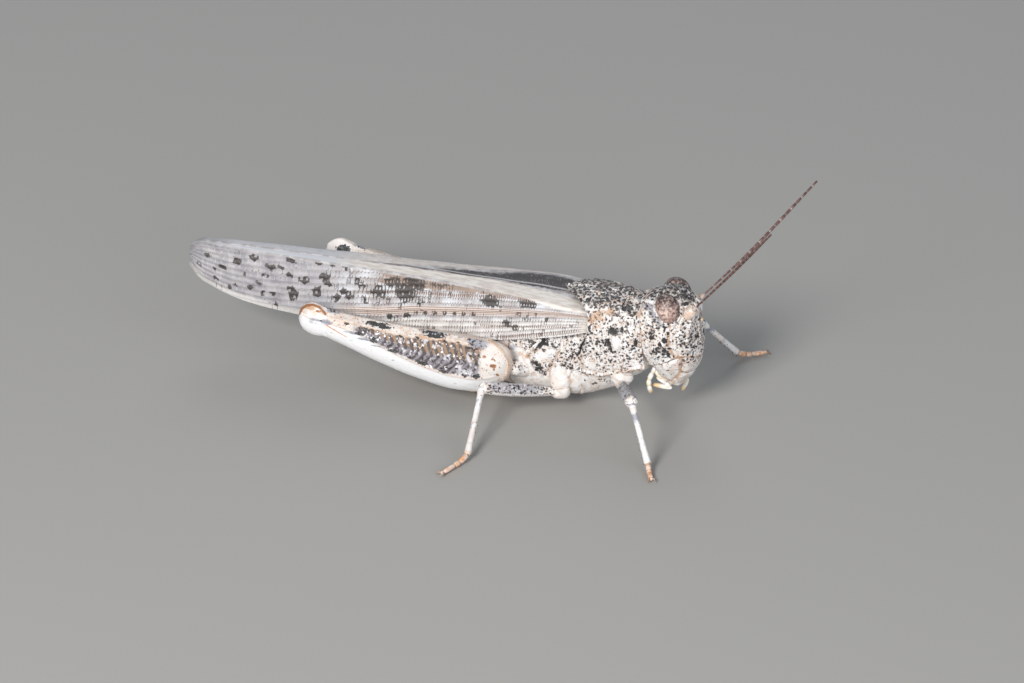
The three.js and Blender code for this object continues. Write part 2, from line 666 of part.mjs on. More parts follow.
// Head with eyes, feelers and mouthparts.
let capsule = headSolid();
for (const [name, side] of Object.entries(sides)) {
  const antenna = antennaSolid(side, antennaTips[name], 0);
  addNode(`eye_${name}`, eyeSolid(side, 0), eyeBrown);
  addNode(`antenna_${name}`, antenna, redBrown);
  capsule = capsule.subtract(eyeSolid(side, gap)).subtract(antennaSolid(side, antennaTips[name], gap));
}
for (const [name, side] of Object.entries(sides)) {
  for (const [palp, route] of Object.entries(palpRoutes)) {
    const points = route.map(onSide(side));
    addNode(`${palp}_${name}`, limb(points, [palpRadius, palpRadius]), tan);
    capsule = capsule.subtract(limb(points, [palpRadius, palpRadius], { grow: gap }));
  }
}
addNode('head', capsule.subtract(belowCheeks(0)), ivory);
const mouth = capsule.intersect(belowCheeks(gap));
addNode('labrum', mouth.intersect(inFrontOfJaws(gap)), ivory);
const jaws = mouth.subtract(inFrontOfJaws(0));
addNode('mandible_left', jaws.intersect(block([0, gap / 2, -9], [20, 9, 20])), tan);
addNode('mandible_right', jaws.intersect(block([0, -9, -9], [20, -gap / 2, 20])), tan);

// The frame's origin is on the ground below the middle of the whole animal.
const bounds = new THREE.Box3().setFromObject(grasshopper);
const middle = bounds.getCenter(new THREE.Vector3());
grasshopper.position.set(-middle.x, -middle.y, -bounds.min.z);

export default grasshopper;
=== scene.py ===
"""The finished looks of a band-winged sand grasshopper at rest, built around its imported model.

Pieces are shaped in millimetres of the animal's own frame: +X toward the head, +Y to its left, +Z up,
floor at zero. settle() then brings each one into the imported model's frame, in metres.
"""

import math
from functools import reduce

import bpy
import numpy as np
from bpy.props import FloatProperty, FloatVectorProperty, IntProperty, PointerProperty
from mathutils import Matrix, Vector, noise


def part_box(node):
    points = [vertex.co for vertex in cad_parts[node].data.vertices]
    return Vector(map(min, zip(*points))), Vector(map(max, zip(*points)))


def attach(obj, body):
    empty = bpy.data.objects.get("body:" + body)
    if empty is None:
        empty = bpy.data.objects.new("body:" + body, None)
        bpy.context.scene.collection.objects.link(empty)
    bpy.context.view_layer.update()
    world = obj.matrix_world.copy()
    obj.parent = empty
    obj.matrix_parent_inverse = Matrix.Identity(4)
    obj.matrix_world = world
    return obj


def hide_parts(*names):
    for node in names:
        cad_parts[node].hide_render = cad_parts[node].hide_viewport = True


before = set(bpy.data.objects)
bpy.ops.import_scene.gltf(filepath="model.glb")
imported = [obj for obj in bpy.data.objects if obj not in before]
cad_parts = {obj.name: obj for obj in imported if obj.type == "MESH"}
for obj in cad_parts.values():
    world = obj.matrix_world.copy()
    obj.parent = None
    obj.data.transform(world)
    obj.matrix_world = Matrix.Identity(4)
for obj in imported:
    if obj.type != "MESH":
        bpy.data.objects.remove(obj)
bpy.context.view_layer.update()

bl_info = {
    "name": "Sand Grasshopper",
    "version": (1, 0, 0),
    "blender": (4, 5, 0),
    "location": "View3D > Sidebar > Grasshopper",
    "description": "Adds the skin, wings, legs and finishes of a sand grasshopper to its packed model",
    "category": "Add Mesh",
}

MM = 0.001
SIDES = {"left": 1, "right": -1}
WING_TIP = -24  # where the forewings end in the animal's frame
# How far out the marks of the head, the flank and the hind thigh are measured.
HEAD_PLANE, FLANK_PLANE, THIGH_PLANE = 1.9, 2.2, 4.15
VIEW_AZIMUTH, VIEW_ELEVATION = 17, 30  # degrees; from ahead of the right side and from above
# How far x and z slide per unit of depth along that view.
VIEW_SLIDE = (
    math.tan(math.radians(VIEW_AZIMUTH)),
    math.tan(math.radians(VIEW_ELEVATION)) / math.cos(math.radians(VIEW_AZIMUTH)),
)


def frame_shift():
    """The way from the animal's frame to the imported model's, in millimetres."""
    left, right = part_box("tegmen_left"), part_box("tegmen_right")
    return Vector((left[0].x / MM - WING_TIP, (left[1].y + right[0].y) / 2 / MM, 0))


SHIFT = frame_shift()


# ---------------------------------------------------------------- curves and fields


class Stations:
    """Measures that change smoothly along a row of stations; the first column is the place."""

    def __init__(self, **columns):
        self.columns = {name: np.array(values, dtype=float) for name, values in columns.items()}
        self.axis = next(iter(columns))

    def at(self, name, place):
        """One measure at the given places."""
        places, values = self.columns[self.axis], self.columns[name]
        slopes = np.gradient(values, places)
        place = np.clip(place, places[0], places[-1])
        before = np.clip(np.searchsorted(places, place) - 1, 0, len(places) - 2)
        width = places[before + 1] - places[before]
        share = (place - places[before]) / width
        rest = 1 - share
        return (
            values[before] * (1 + 2 * share) * rest**2
            + values[before + 1] * (1 + 2 * rest) * share**2
            + slopes[before] * width * share * rest**2
            - slopes[before + 1] * width * rest * share**2
        )

    def several(self, place, *names):
        """Several measures at the given places."""
        return [self.at(name, place) for name in names]


def along_outline(**columns):
    """Stations placed by how far the outline of their first and last columns has run, from 0 to 1."""
    names = list(columns)
    first, last = (np.array(columns[name], dtype=float) for name in (names[0], names[-1]))
    run = np.concatenate(([0], np.cumsum(np.hypot(np.diff(first), np.diff(last)))))
    return Stations(run=run / run[-1], **columns)


def bent(value, squareness):
    """Bends a sine or cosine so that a circle becomes a rounded square."""
    return np.sign(value) * np.abs(value) ** (2 / squareness)


def lerp(start, end, share):
    return start + (end - start) * share


def ease(value, low, high):
    """0 below low, 1 above high, smooth between."""
    share = np.clip((value - low) / (high - low), 0, 1)
    return share * share * (3 - 2 * share)


def bump_at(value, centre, reach):
    """A smooth rise round a centre, 1 high."""
    return np.exp(-(((value - centre) / reach) ** 2))


def follow(place, line):
    """The second measure of a bent line, where its first measure is at the given places."""
    return np.interp(place, *np.transpose(line))


def highest(*fields):
    """The highest of several fields at each point; plain numbers may stand among them."""
    return reduce(np.maximum, fields)


def bumps(value, *rises):
    """Several smooth rises; each is a centre, a reach and a height."""
    return sum(height * bump_at(value, centre, reach) for centre, reach, height in rises)


def line_distance(x, z, line):
    """The distance from each point to a bent line, in one plane."""
    nearest = np.full(np.shape(x), np.inf)
    for (x0, z0), (x1, z1) in zip(line, line[1:]):
        along = ((x - x0) * (x1 - x0) + (z - z0) * (z1 - z0)) / ((x1 - x0) ** 2 + (z1 - z0) ** 2)
        share = np.clip(along, 0, 1)
        nearest = np.minimum(nearest, np.hypot(x - lerp(x0, x1, share), z - lerp(z0, z1, share)))
    return nearest


def ridge(x, z, line, reach):
    """A smooth ridge along a bent line, 1 high."""
    return bump_at(line_distance(x, z, line), 0, reach)


def patches(x, z, places):
    """Soft-edged patches; each is a centre, two reaches and a strength."""
    total = np.zeros(np.shape(x))
    for centre_x, centre_z, reach_x, reach_z, strength in places:
        spread = ((x - centre_x) / reach_x) ** 2 + ((z - centre_z) / reach_z) ** 2
        total = np.maximum(total, strength * np.exp(-(spread**2)))
    return total


def seen(points, plane):
    """Points as x and z, slid to one side plane along the slanting view that the marks were measured in."""
    x, y, z = points.T
    inward = plane - np.abs(y)
    return x + VIEW_SLIDE[0] * inward, z + VIEW_SLIDE[1] * inward


def seen_rough(points, plane, sway=0.11):
    """The same, swayed by noise so that marks get ragged outlines."""
    across, up = seen(points, plane)
    return across + sway * grain(points, 0.22, 21), up + sway * grain(points, 0.22, 27)


def grain(points, size, seed=0):
    """Smooth noise between about -1 and 1, with lumps of the given size."""
    offset = Vector((seed, seed * 1.7, -seed))
    return np.array([noise.noise(Vector(point) / size + offset) for point in points])


# ---------------------------------------------------------------- modelling helpers


def clear_selection():
    if bpy.context.object and bpy.context.object.mode != "OBJECT":
        bpy.ops.object.mode_set(mode="OBJECT")
    bpy.ops.object.select_all(action="DESELECT")


def pick(piece):
    """Makes one piece the only selected and active one."""
    clear_selection()
    piece.select_set(True)
    bpy.context.view_layer.objects.active = piece


def named(name):
    """The primitive that was just added, under its name."""
    piece = bpy.context.active_object
    piece.name = piece.data.name = name
    return piece


def points_of(piece):
    flat = np.empty(len(piece.data.vertices) * 3)
    piece.data.vertices.foreach_get("co", flat)
    return flat.reshape(-1, 3)


def normals_of(piece):
    flat = np.empty(len(piece.data.vertices) * 3)
    piece.data.vertices.foreach_get("normal", flat)
    return flat.reshape(-1, 3)


def move_points(piece, places):
    piece.data.vertices.foreach_set("co", np.asarray(places, dtype=float).ravel())
    piece.data.update()


def face_outward(piece, merge=0.0002):
    """Merges doubled points and turns every face outward."""
    pick(piece)
    bpy.ops.object.mode_set(mode="EDIT")
    bpy.ops.mesh.select_all(action="SELECT")
    bpy.ops.mesh.remove_doubles(threshold=merge)
    bpy.ops.mesh.normals_make_consistent(inside=False)
    bpy.ops.object.mode_set(mode="OBJECT")


def emboss(piece, height):
    """Raises each point along its normal by height(points), in millimetres."""
    points = points_of(piece)
    move_points(piece, points + normals_of(piece) * height(points)[:, None])


def paint(piece, **fields):
    """Stores one number for each point under each name, for the finishes to read."""
    count = len(piece.data.vertices)
    for name, values in fields.items():
        layer = piece.data.attributes.new(name, "FLOAT", "POINT")
        layer.data.foreach_set("value", np.array(np.broadcast_to(values, count), dtype=np.float32))


def skin(name, segments, rings, form):
    """A closed skin: a ball whose points move to form(along, around); along is 0 to 1 between its poles."""
    clear_selection()
    bpy.ops.mesh.primitive_uv_sphere_add(segments=segments, ring_count=rings, radius=1)
    piece = named(name)
    points = points_of(piece)
    along = np.arccos(np.clip(-points[:, 2], -1, 1)) / np.pi
    around = np.arctan2(points[:, 1], points[:, 0])
    move_points(piece, form(along, around))
    face_outward(piece)
    return piece


def panel(name, columns, rows, form):
    """An open skin: a flat grid whose points move to form(across, along), each from 0 to 1."""
    clear_selection()
    bpy.ops.mesh.primitive_grid_add(x_subdivisions=columns, y_subdivisions=rows, size=2)
    piece = named(name)
    points = points_of(piece)
    move_points(piece, form((points[:, 0] + 1) / 2, (points[:, 1] + 1) / 2))
    return piece


def face_away(piece):
    """Turns an open skin's faces away from its own middle, so that relief rises outward."""
    points = points_of(piece)
    if float(np.sum(normals_of(piece) * (points - points.mean(axis=0)))) < 0:
        piece.data.flip_normals()


def share_across(piece, columns):
    """How far across the panel each point lies, from 0 to 1."""
    return np.arange(len(piece.data.vertices)) % (columns + 1) / columns


def thicken(piece, thickness, outward):
    """Gives an open skin a wall on its inner side; outward(points) is where its outer side faces."""
    normals = normals_of(piece)
    points = points_of(piece)
    if float(np.sum(normals * outward(points))) < 0:
        piece.data.flip_normals()
    pick(piece)
    wall = piece.modifiers.new("wall", "SOLIDIFY")
    wall.thickness = thickness
    wall.offset = -1
    bpy.ops.object.modifier_apply(modifier=wall.name)


def turned(name, rings, sides=20):
    """A bar along Z: a disc extruded from ring to ring; each ring is a height and a radius."""
    clear_selection()
    height, radius = rings[0]
    bpy.ops.mesh.primitive_circle_add(vertices=sides, radius=radius, fill_type="NGON")
    piece = named(name)
    bpy.ops.object.mode_set(mode="EDIT")
    bpy.ops.mesh.select_all(action="SELECT")
    bpy.ops.transform.translate(value=(0, 0, height))
    for next_height, next_radius in rings[1:]:
        bpy.ops.mesh.extrude_region_move(TRANSFORM_OT_translate={"value": (0, 0, next_height - height)})
        growth = next_radius / radius
        bpy.ops.transform.resize(value=(growth, growth, 1), center_override=(0, 0, next_height))
        height, radius = next_height, next_radius
    bpy.ops.mesh.select_all(action="SELECT")
    bpy.ops.mesh.normals_make_consistent(inside=False)
    bpy.ops.object.mode_set(mode="OBJECT")
    return piece


def level_across(forward):
    """The level direction square to another one."""
    return forward.cross(Vector((0, 0, 1))).normalized()


def aimed(start, end, width=1):
    """The matrix that lays a bar of length 1 from start to end, its X axis turned up."""
    start, end = Vector(start), Vector(end)
    forward = end - start
    length = forward.length
    forward.normalize()
    level = level_across(forward)
    upward = level.cross(forward)
    turn = Matrix((upward, level, forward)).transposed().to_4x4()
    return Matrix.Translation(start) @ turn @ Matrix.Diagonal((width, width, length, 1))


def copy_of(piece, name, matrix):
    """A copy with its own mesh, laid in place."""
    copied = piece.copy()
    copied.data = piece.data.copy()
    copied.name = copied.data.name = name
    bpy.context.collection.objects.link(copied)
    copied.data.transform(matrix)
    if matrix.determinant() < 0:
        copied.data.flip_normals()
    return copied


def mirrored(piece, side):
    """Turns a piece made on the left into one for the given side."""
    if side < 0:
        piece.data.transform(Matrix.Diagonal((1, -1, 1, 1)))
        piece.data.flip_normals()
    return piece


def joint_height(template):
    """How far up each point of a unit bar lies."""
    return points_of(template)[:, 2]


def discard(*pieces):
    for piece in pieces:
        bpy.data.meshes.remove(piece.data)


def joined(name, pieces):
    """Several pieces as one object."""
    clear_selection()
    for piece in pieces:
        piece.select_set(True)
    bpy.context.view_layer.objects.active = pieces[0]
    if len(pieces) > 1:
        bpy.ops.object.join()
    return named(name)


def subdivided(piece, levels):
    """Rounds a piece with a subdivision surface."""
    pick(piece)
    rounding = piece.modifiers.new("rounding", "SUBSURF")
    rounding.levels = rounding.render_levels = levels
    bpy.ops.object.modifier_apply(modifier=rounding.name)
    return piece


def settle(piece, finish, slot, *nodes, angle=60):
    """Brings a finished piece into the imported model's frame and lets it stand for its nodes."""
    pick(piece)
    piece.matrix_world = Matrix.Translation(SHIFT * MM) @ Matrix.Scale(MM, 4)
    bpy.ops.object.transform_apply(location=True, rotation=True, scale=True)
    bpy.ops.object.shade_smooth_by_angle(angle=math.radians(angle))
    piece.data.materials.clear()
    piece.data.materials.append(finish)
    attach(piece, "root")
    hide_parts(*nodes)
    return piece


# ---------------------------------------------------------------- measures of the animal, in millimetres

TRUNK = Stations(
    x=(-14.2, -13.9, -12.4, -9.5, -6, -3.2, -1.2, 0.6, 2.2, 3.8, 6.2),
    half_width=(0.3, 0.45, 1.1, 1.55, 1.8, 2, 2.2, 2.2, 1.98, 1.75, 1.45),
    top=(5.4, 5.5, 5.9, 6.2, 6.45, 6.6, 6.7, 6.8, 7, 7.3, 7.6),
    bottom=(4.6, 4.4, 3, 1.9, 1.15, 0.85, 0.7, 0.7, 0.95, 1.65, 3.5),
)
TRUNK_SQUARENESS = 2.35
ABDOMEN_CUTS = (-2.7, -4.9, -7.1, -9.3, -11.4, -13.9)
WAIST = 2.45  # between the neck part and the winged thorax, below the saddle

PRONOTUM = Stations(
    x=(0, 1.4, 2.8, 4.2, 5.2, 6.4),
    half_width=(1.95, 2.22, 2.32, 2.22, 2.12, 2.08),
    top=(7.88, 8.04, 8.12, 8.08, 8.06, 8.06),
    bottom=(1.5, 1.5, 1.5, 1.6, 1.8, 2),
    squareness=(3.1, 3.1, 2.8, 2.45, 2.3, 2.3),
)
COLLAR = ((3.6, 6.05), (8.6, 5.3))  # z and x of the pronotum's front margin
DISC_APEX = 0.35
SHOULDER = (2.35, 2)  # x and y of the saddle's rear corner
# z and x of the side lobe's rear margin, and x and z of its lower one.
LOBE_REAR = ((3.2, 1.75), (3.5, 1.5), (3.9, 1.45), (5, 2.2), (6.3, 2.35))
LOBE_FOOT = ((1.4, 3.5), (2.1, 3.2), (3.2, 3.14), (4.9, 3.7), (6.1, 4.15))

HEAD = along_outline(
    z=(2.15, 2.25, 2.75, 3.4, 4.2, 5.1, 6.2, 7.2, 7.75, 8.1, 8.38, 8.6, 8.68),
    back=(7.3, 7, 6.55, 6.2, 5.7, 5.1, 4.8, 4.7, 4.9, 5.3, 5.9, 6.6, 7.15),
    front=(7.3, 7.55, 8.06, 8.58, 8.96, 9.08, 8.93, 8.82, 8.82, 8.6, 8.2, 7.7, 7.15),
    half_width=(0, 0.52, 1, 1.4, 1.8, 2.04, 2.06, 1.88, 1.58, 1.32, 1.05, 0.7, 0),
    square=(1.7, 1.7, 1.7, 1.7, 1.72, 1.8, 2.1, 2.45, 2.5, 2.5, 2.5, 2.5, 2.5),
)
NAPE_SQUARENESS = 2.5
HEAD_WIDEST = 0.42  # share of the way from back to front
CHEEK_RIM = ((5.9, 3.95), (7.8, 4.95), (8.3, 4.95), (8.9, 4.6), (9.4, 4.5))
JAW_FRONT = ((2.9, 7.3), (3.75, 7.95), (5, 8.05))  # z and x of the seam between jaw and lip
EYE = {"centre": (7.13, 1.25, 8.04), "reach": (0.75, 0.66, 0.9), "lean": 0.4}

TEGMEN = Stations(
    x=(-24, -23.4, -22.2, -20, -16.5, -12, -7.5, -3.2, -0.5, 1.3, 2.7),
    crest=(6.9, 7.3, 7.4, 7.46, 7.54, 7.62, 7.7, 7.76, 7.76, 7.62, 7.3),
    ridge_y=(0.12, 0.22, 0.35, 0.5, 0.7, 0.95, 1.22, 1.6, 1.84, 1.8, 1.5),
    ridge_z=(6.85, 7.24, 7.36, 7.42, 7.48, 7.56, 7.62, 7.66, 7.62, 7.42, 7.1),
    edge_y=(0.5, 0.72, 0.95, 1.3, 1.7, 1.95, 2.2, 2.4, 2.45, 2.38, 1.85),
    edge_z=(6, 5.2, 4.62, 4.15, 4, 4.1, 4.35, 4.8, 5.4, 5.85, 6.1),
)
WING_ROOT = 2.7  # tucked in below the saddle's rear margin
# Place along the wing and share down from the ridge.
MAIN_VEIN = (
    (-24, 1), (-21, 0.97), (-18, 0.9), (-13.7, 0.77), (-11, 0.68), (-9, 0.565), (-6.5, 0.48), (-4.9, 0.425),
    (-1.55, 0.325), (0.55, 0.25), (2.7, 0.2),
)

HIND_FEMUR = along_outline(
    x=(-15.75, -15.5, -14.75, -14, -13.2, -10.8, -8, -5.2, -3.3, -2.45, -2.12),
    y=(3.5, 3.5, 3.5, 3.5, 3.5, 3.45, 3.35, 3.25, 3.15, 3, 2.95),
    z=(4.86, 4.88, 4.9, 4.8, 4.6, 4.06, 3.56, 3.3, 3.4, 3.55, 3.62),
    half_width=(0, 0.34, 0.58, 0.54, 0.62, 0.78, 0.92, 0.98, 0.85, 0.5, 0),
    half_height=(0, 0.62, 1.03, 0.95, 0.98, 1.33, 1.7, 1.86, 1.6, 1, 0),
)
UPPER_CARINA = Stations(
    x=(-13.6, -12.2, -10.8, -9, -7.1, -5.3, -3.85, -2.6), z=(5.42, 5.3, 5.16, 4.98, 5.03, 5.02, 4.72, 4.3)
)
LOWER_CARINA = Stations(
    x=(-13.6, -11.7, -10.7, -9.4, -7.6, -5.8, -4, -2.6), z=(5.15, 4.74, 4.38, 3.88, 3.28, 2.9, 2.85, 3.1)
)
KNEE_CARRY = {"from": -2.35, "over": 12.4, "back": 0.55, "up": 0.8}  # how the left thigh differs
HIND_TIBIA = ((-14.6, 3.25, 4.3), (-5.8, 1.3, 0.66))
HIND_TARSUS = ((-5.9, 1.3, 0.45), (-5, 1.15, 0.2), (-3, 1, 0.18))
HIND_COXA = ((-1.35, 1.6, 2.5), (-2.45, 2.7, 3.15))

# Walking legs, with y counted outward: root and hip of each pair, then knee, ankle and claw of each leg.
LEG_ROOTS = {"fore": ((4.5, 1.5, 3.6), (4.35, 1.75, 2.75)), "mid": ((0.35, 1.7, 3.4), (0.75, 1.9, 1.45))}
LEG_ROUTES = {
    "fore_right": ((6.15, 5.6, 3.75), (7.62, 7, 0.45), (8.15, 8.15, 0.16)),
    "fore_left": ((7.6, 4.9, 3.9), (9.3, 7.6, 0.45), (10.95, 8.7, 0.16)),
    "mid_right": ((-3.5, 4.95, 2.75), (-3.15, 9.1, 0.45), (-4.2, 11.3, 0.16)),
    "mid_left": ((-2.9, 5.3, 2.75), (-3, 9.2, 0.45), (-4.4, 11.1, 0.16)),
}
ANTENNA_ROOTS = {"right": (8.47, 1.02, 7.86), "left": (8.28, 0.9, 7.5)}
ANTENNA_WAYS = {
    "right": ((11, 1.9, 11.2), (14.2, 4.2, 15.9)), "left": ((10.9, 3.2, 10.1), (14.15, 7.2, 13.6))
}
PALP_LOBES = {  # start, end and width of the pale lobes beside the jaw feelers
    "maxillary_palp": (((6.4, 1.1, 3.6), (6.8, 1.05, 3), 0.2), ((6.6, 0.8, 3.6), (7.15, 0.9, 2.85), 0.34)),
    "labial_palp": (((7.3, 0.3, 2.9), (7, 0.35, 2.2), 0.2),),
}
PALP_ROUTES = {
    "maxillary_palp_right": ((6.4, 1.1, 3.8), (6.03, 1.3, 2.9), (6.16, 1.25, 2)),
    "maxillary_palp_left": ((6.4, 1.1, 3.8), (6.1, 1.3, 3), (6.25, 1.25, 2.1)),
    "labial_palp_right": ((6.5, 0.95, 3), (7.3, 0.95, 2.42), (6.15, 0.9, 2.4)),
    "labial_palp_left": ((7.2, 0.6, 2.9), (7.95, 0.55, 2.3), (7.65, 0.5, 1.45)),
}


# ---------------------------------------------------------------- sizes and colours that a user may change


def length_property(label, meaning, millimetres):
    return FloatProperty(name=label, description=meaning, default=millimetres * MM, unit="LENGTH")


class GrasshopperSizes(bpy.types.PropertyGroup):
    """Small sizes of the animal's surface."""

    wing_skin: length_property("Wing skin", "Thickness of the folded wings", 0.08)
    vein_height: length_property("Vein height", "How far the main wing veins stand out", 0.045)
    chevron_height: length_property("Chevron height", "Relief of the hind thigh's herringbone", 0.07)
    feeler_width: length_property("Feeler width", "Thickness of the feelers near the head", 0.18)
    feeler_joints: IntProperty(name="Feeler joints", description="Joints of each feeler's whip", default=23)
    spine_length: length_property("Spine length", "Length of the spines on the hind shins", 0.55)
    speck_size: length_property("Speck size", "Usual width of the dark specks", 0.16)
    facet_size: length_property("Facet size", "Width of one facet of the eyes", 0.045)


def colour_property(label, meaning, *colour):
    return FloatVectorProperty(
        name=label, description=meaning, default=colour, size=3, min=0, max=1, subtype="COLOR"
    )


class GrasshopperColours(bpy.types.PropertyGroup):
    """The animal's colours, as linear values."""

    ivory: colour_property("Ivory", "Ground colour of the plates", 0.69, 0.645, 0.6)
    chalk: colour_property("Chalk", "The whitest bands and cells", 0.78, 0.765, 0.76)
    blush: colour_property("Blush", "Pinkish tinge of the ivory", 0.66, 0.52, 0.44)
    soot: colour_property("Soot", "Dark specks and blotches", 0.028, 0.024, 0.024)
    umber: colour_property("Umber", "Brown veins and cells of the wings", 0.16, 0.095, 0.06)
    tan: colour_property("Tan", "Warm patches and sutures", 0.5, 0.3, 0.165)
    slate: colour_property("Slate", "Blue-grey clouds", 0.26, 0.27, 0.32)
    chestnut: colour_property("Chestnut", "Crescent of the hind knee", 0.3, 0.13, 0.055)
    eye_brown: colour_property("Eye brown", "Ground colour of the eyes", 0.36, 0.235, 0.195)
    feeler_brown: colour_property("Feeler brown", "Whip of the feelers", 0.075, 0.032, 0.026)
    foot_orange: colour_property("Foot orange", "Feet and claws", 0.6, 0.3, 0.14)
    honey: colour_property("Honey", "Tips of the jaw feelers", 0.66, 0.45, 0.22)
    floor: colour_property("Floor", "The pale floor", 0.338, 0.328, 0.31)


def sizes():
    return bpy.context.scene.grasshopper_sizes


def colours():
    return bpy.context.scene.grasshopper_colours


# ---------------------------------------------------------------- finishes


def math_node(operation, turned_round=False):
    """A method for Shade that adds one Math node; turned round, the shade is the node's second value."""

    def method(shade, *others):
        values = (*others, shade) if turned_round else (shade, *others)
        return shade.finish.node("ShaderNodeMath", {"operation": operation}, *values)

    return method


class Shade:
    """A shader value; arithmetic on it adds Math nodes."""

    def __init__(self, finish, socket):
        self.finish, self.socket = finish, socket

    __add__ = __radd__ = math_node("ADD")
    __mul__ = __rmul__ = math_node("MULTIPLY")
    __sub__ = math_node("SUBTRACT")
    __rsub__ = math_node("SUBTRACT", turned_round=True)
    __pow__ = math_node("POWER")
    __abs__ = math_node("ABSOLUTE")
    greater = math_node("MAXIMUM")
    floor = math_node("FLOOR")
    fract = math_node("FRACT")


class Finish:
    """One material, put together from nodes; places in it are in millimetres of the animal's frame."""

    def __init__(self, name):
        self.material = bpy.data.materials.new(name)
        self.material.use_nodes = True
        self.tree = self.material.node_tree
        self.shader = self.tree.nodes["Principled BSDF"]
        own = self.node("ShaderNodeTexCoord", {}, out="Object")
        scaled = self.node("ShaderNodeVectorMath", {"operation": "SCALE"}, own, Scale=1 / MM)
        self.place = self.node("ShaderNodeVectorMath", {"operation": "SUBTRACT"}, scaled, tuple(SHIFT))

    def node(self, kind, settings, *values, out=0, **named_values):
        """Adds a node: its settings first, then the values or links of its sockets."""
        node = self.tree.nodes.new(kind)
        for key, value in settings.items():
            setattr(node, key, value)
        for index, value in list(enumerate(values)) + list(named_values.items()):
            self.put(node.inputs[index.replace("_", " ") if isinstance(index, str) else index], value)
        return Shade(self, node.outputs[out])

    def put(self, socket, value):
        """Links a shade to a socket, or sets the socket's own value."""
        if isinstance(value, Shade):
            self.tree.links.new(value.socket, socket)
        else:
            socket.default_value = value

    def painted(self, name):
        """A field that was painted on the piece's points."""
        return self.node("ShaderNodeAttribute", {"attribute_name": name}, out="Fac")

    def fields(self, *names):
        """Several painted fields."""
        return [self.painted(name) for name in names]

    def lumps(self, size, detail=2, roughness=0.5, stretch=None):
        """Noise round 0.5 whose lumps have about the given size."""
        place = self.place
        if stretch:
            place = self.node("ShaderNodeVectorMath", {"operation": "MULTIPLY"}, place, stretch)
        settings = {"noise_dimensions": "3D"}
        return self.node(
            "ShaderNodeTexNoise", settings, Vector=place, Scale=1 / size, Detail=detail, Roughness=roughness
        )

    def cells(self, place, size, out="Distance"):
        """Round cells of the given size: their distance from the middle, or a random colour."""
        settings = {"feature": "F1"}
        return self.node(
            "ShaderNodeTexVoronoi", settings, Vector=place, Scale=1 / size, Randomness=1, out=out
        )

    def random(self, *numbers):
        """A random number for each whole-numbered place."""
        place = self.node("ShaderNodeCombineXYZ", {}, *numbers)
        return self.node("ShaderNodeTexWhiteNoise", {"noise_dimensions": "3D"}, place)

    def ramp(self, value, low, high, to_low=0, to_high=1):
        """Brings a value from one range to another, smoothly and within its ends."""
        settings = {"interpolation_type": "SMOOTHSTEP"}
        return self.node("ShaderNodeMapRange", settings, value, low, high, to_low, to_high)

    def mix(self, share, first, second):
        """One colour turning into another."""
        node = self.tree.nodes.new("ShaderNodeMix")
        node.data_type = "RGBA"
        for key, kind, value in (("Factor", "VALUE", share), ("A", "RGBA", first), ("B", "RGBA", second)):
            socket = next(found for found in node.inputs if (found.name, found.type) == (key, kind))
            self.put(socket, value if isinstance(value, Shade) or kind == "VALUE" else (*value, 1))
        return Shade(self, next(found for found in node.outputs if found.type == "RGBA"))

    def bump(self, height, strength, depth):
        """A normal roughened by a height; depth is in millimetres."""
        return self.node("ShaderNodeBump", {}, Strength=strength, Distance=depth * MM, Height=height)

    def done(self, colour, roughness, **others):
        """Sets or links the surface's sockets, and gives back the material."""
        for name, value in {"Base Color": colour, "Roughness": roughness, **others}.items():
            self.put(self.shader.inputs[name.replace("_", " ")], value)
        return self.material


def dark_share(finish, texture, coverage):
    """The specks: where a texture round 0.5 lies in its darkest part, which is as large as coverage."""
    level = 0.5 + (0.5 - coverage) * 0.42
    return finish.ramp(texture - level, -0.012, 0.022)


def pepper(finish, spacing, coverage):
    """Scattered round-cornered specks covering a share; also a random number and a halo for each."""
    drift = finish.node(
        "ShaderNodeTexNoise", {}, Vector=finish.place, Scale=1 / (spacing * 1.1), Detail=2, out="Color"
    )
    centred = finish.node("ShaderNodeVectorMath", {"operation": "SUBTRACT"}, drift, (0.5, 0.5, 0.5))
    drift = finish.node("ShaderNodeVectorMath", {"operation": "SCALE"}, centred, Scale=spacing * 1.5)
    warped = finish.node("ShaderNodeVectorMath", {"operation": "ADD"}, finish.place, drift)
    luck = finish.node("ShaderNodeSeparateXYZ", {}, finish.cells(warped, spacing, "Color"))
    radius = coverage.greater(0) ** 0.34 * 0.64 + (luck - 0.5) * 0.2
    gap = radius - finish.cells(warped, spacing)
    present = finish.ramp(coverage, 0, 0.03)
    return finish.ramp(gap, -0.035, 0.06) * present, luck, finish.ramp(gap, -0.24, 0) * present


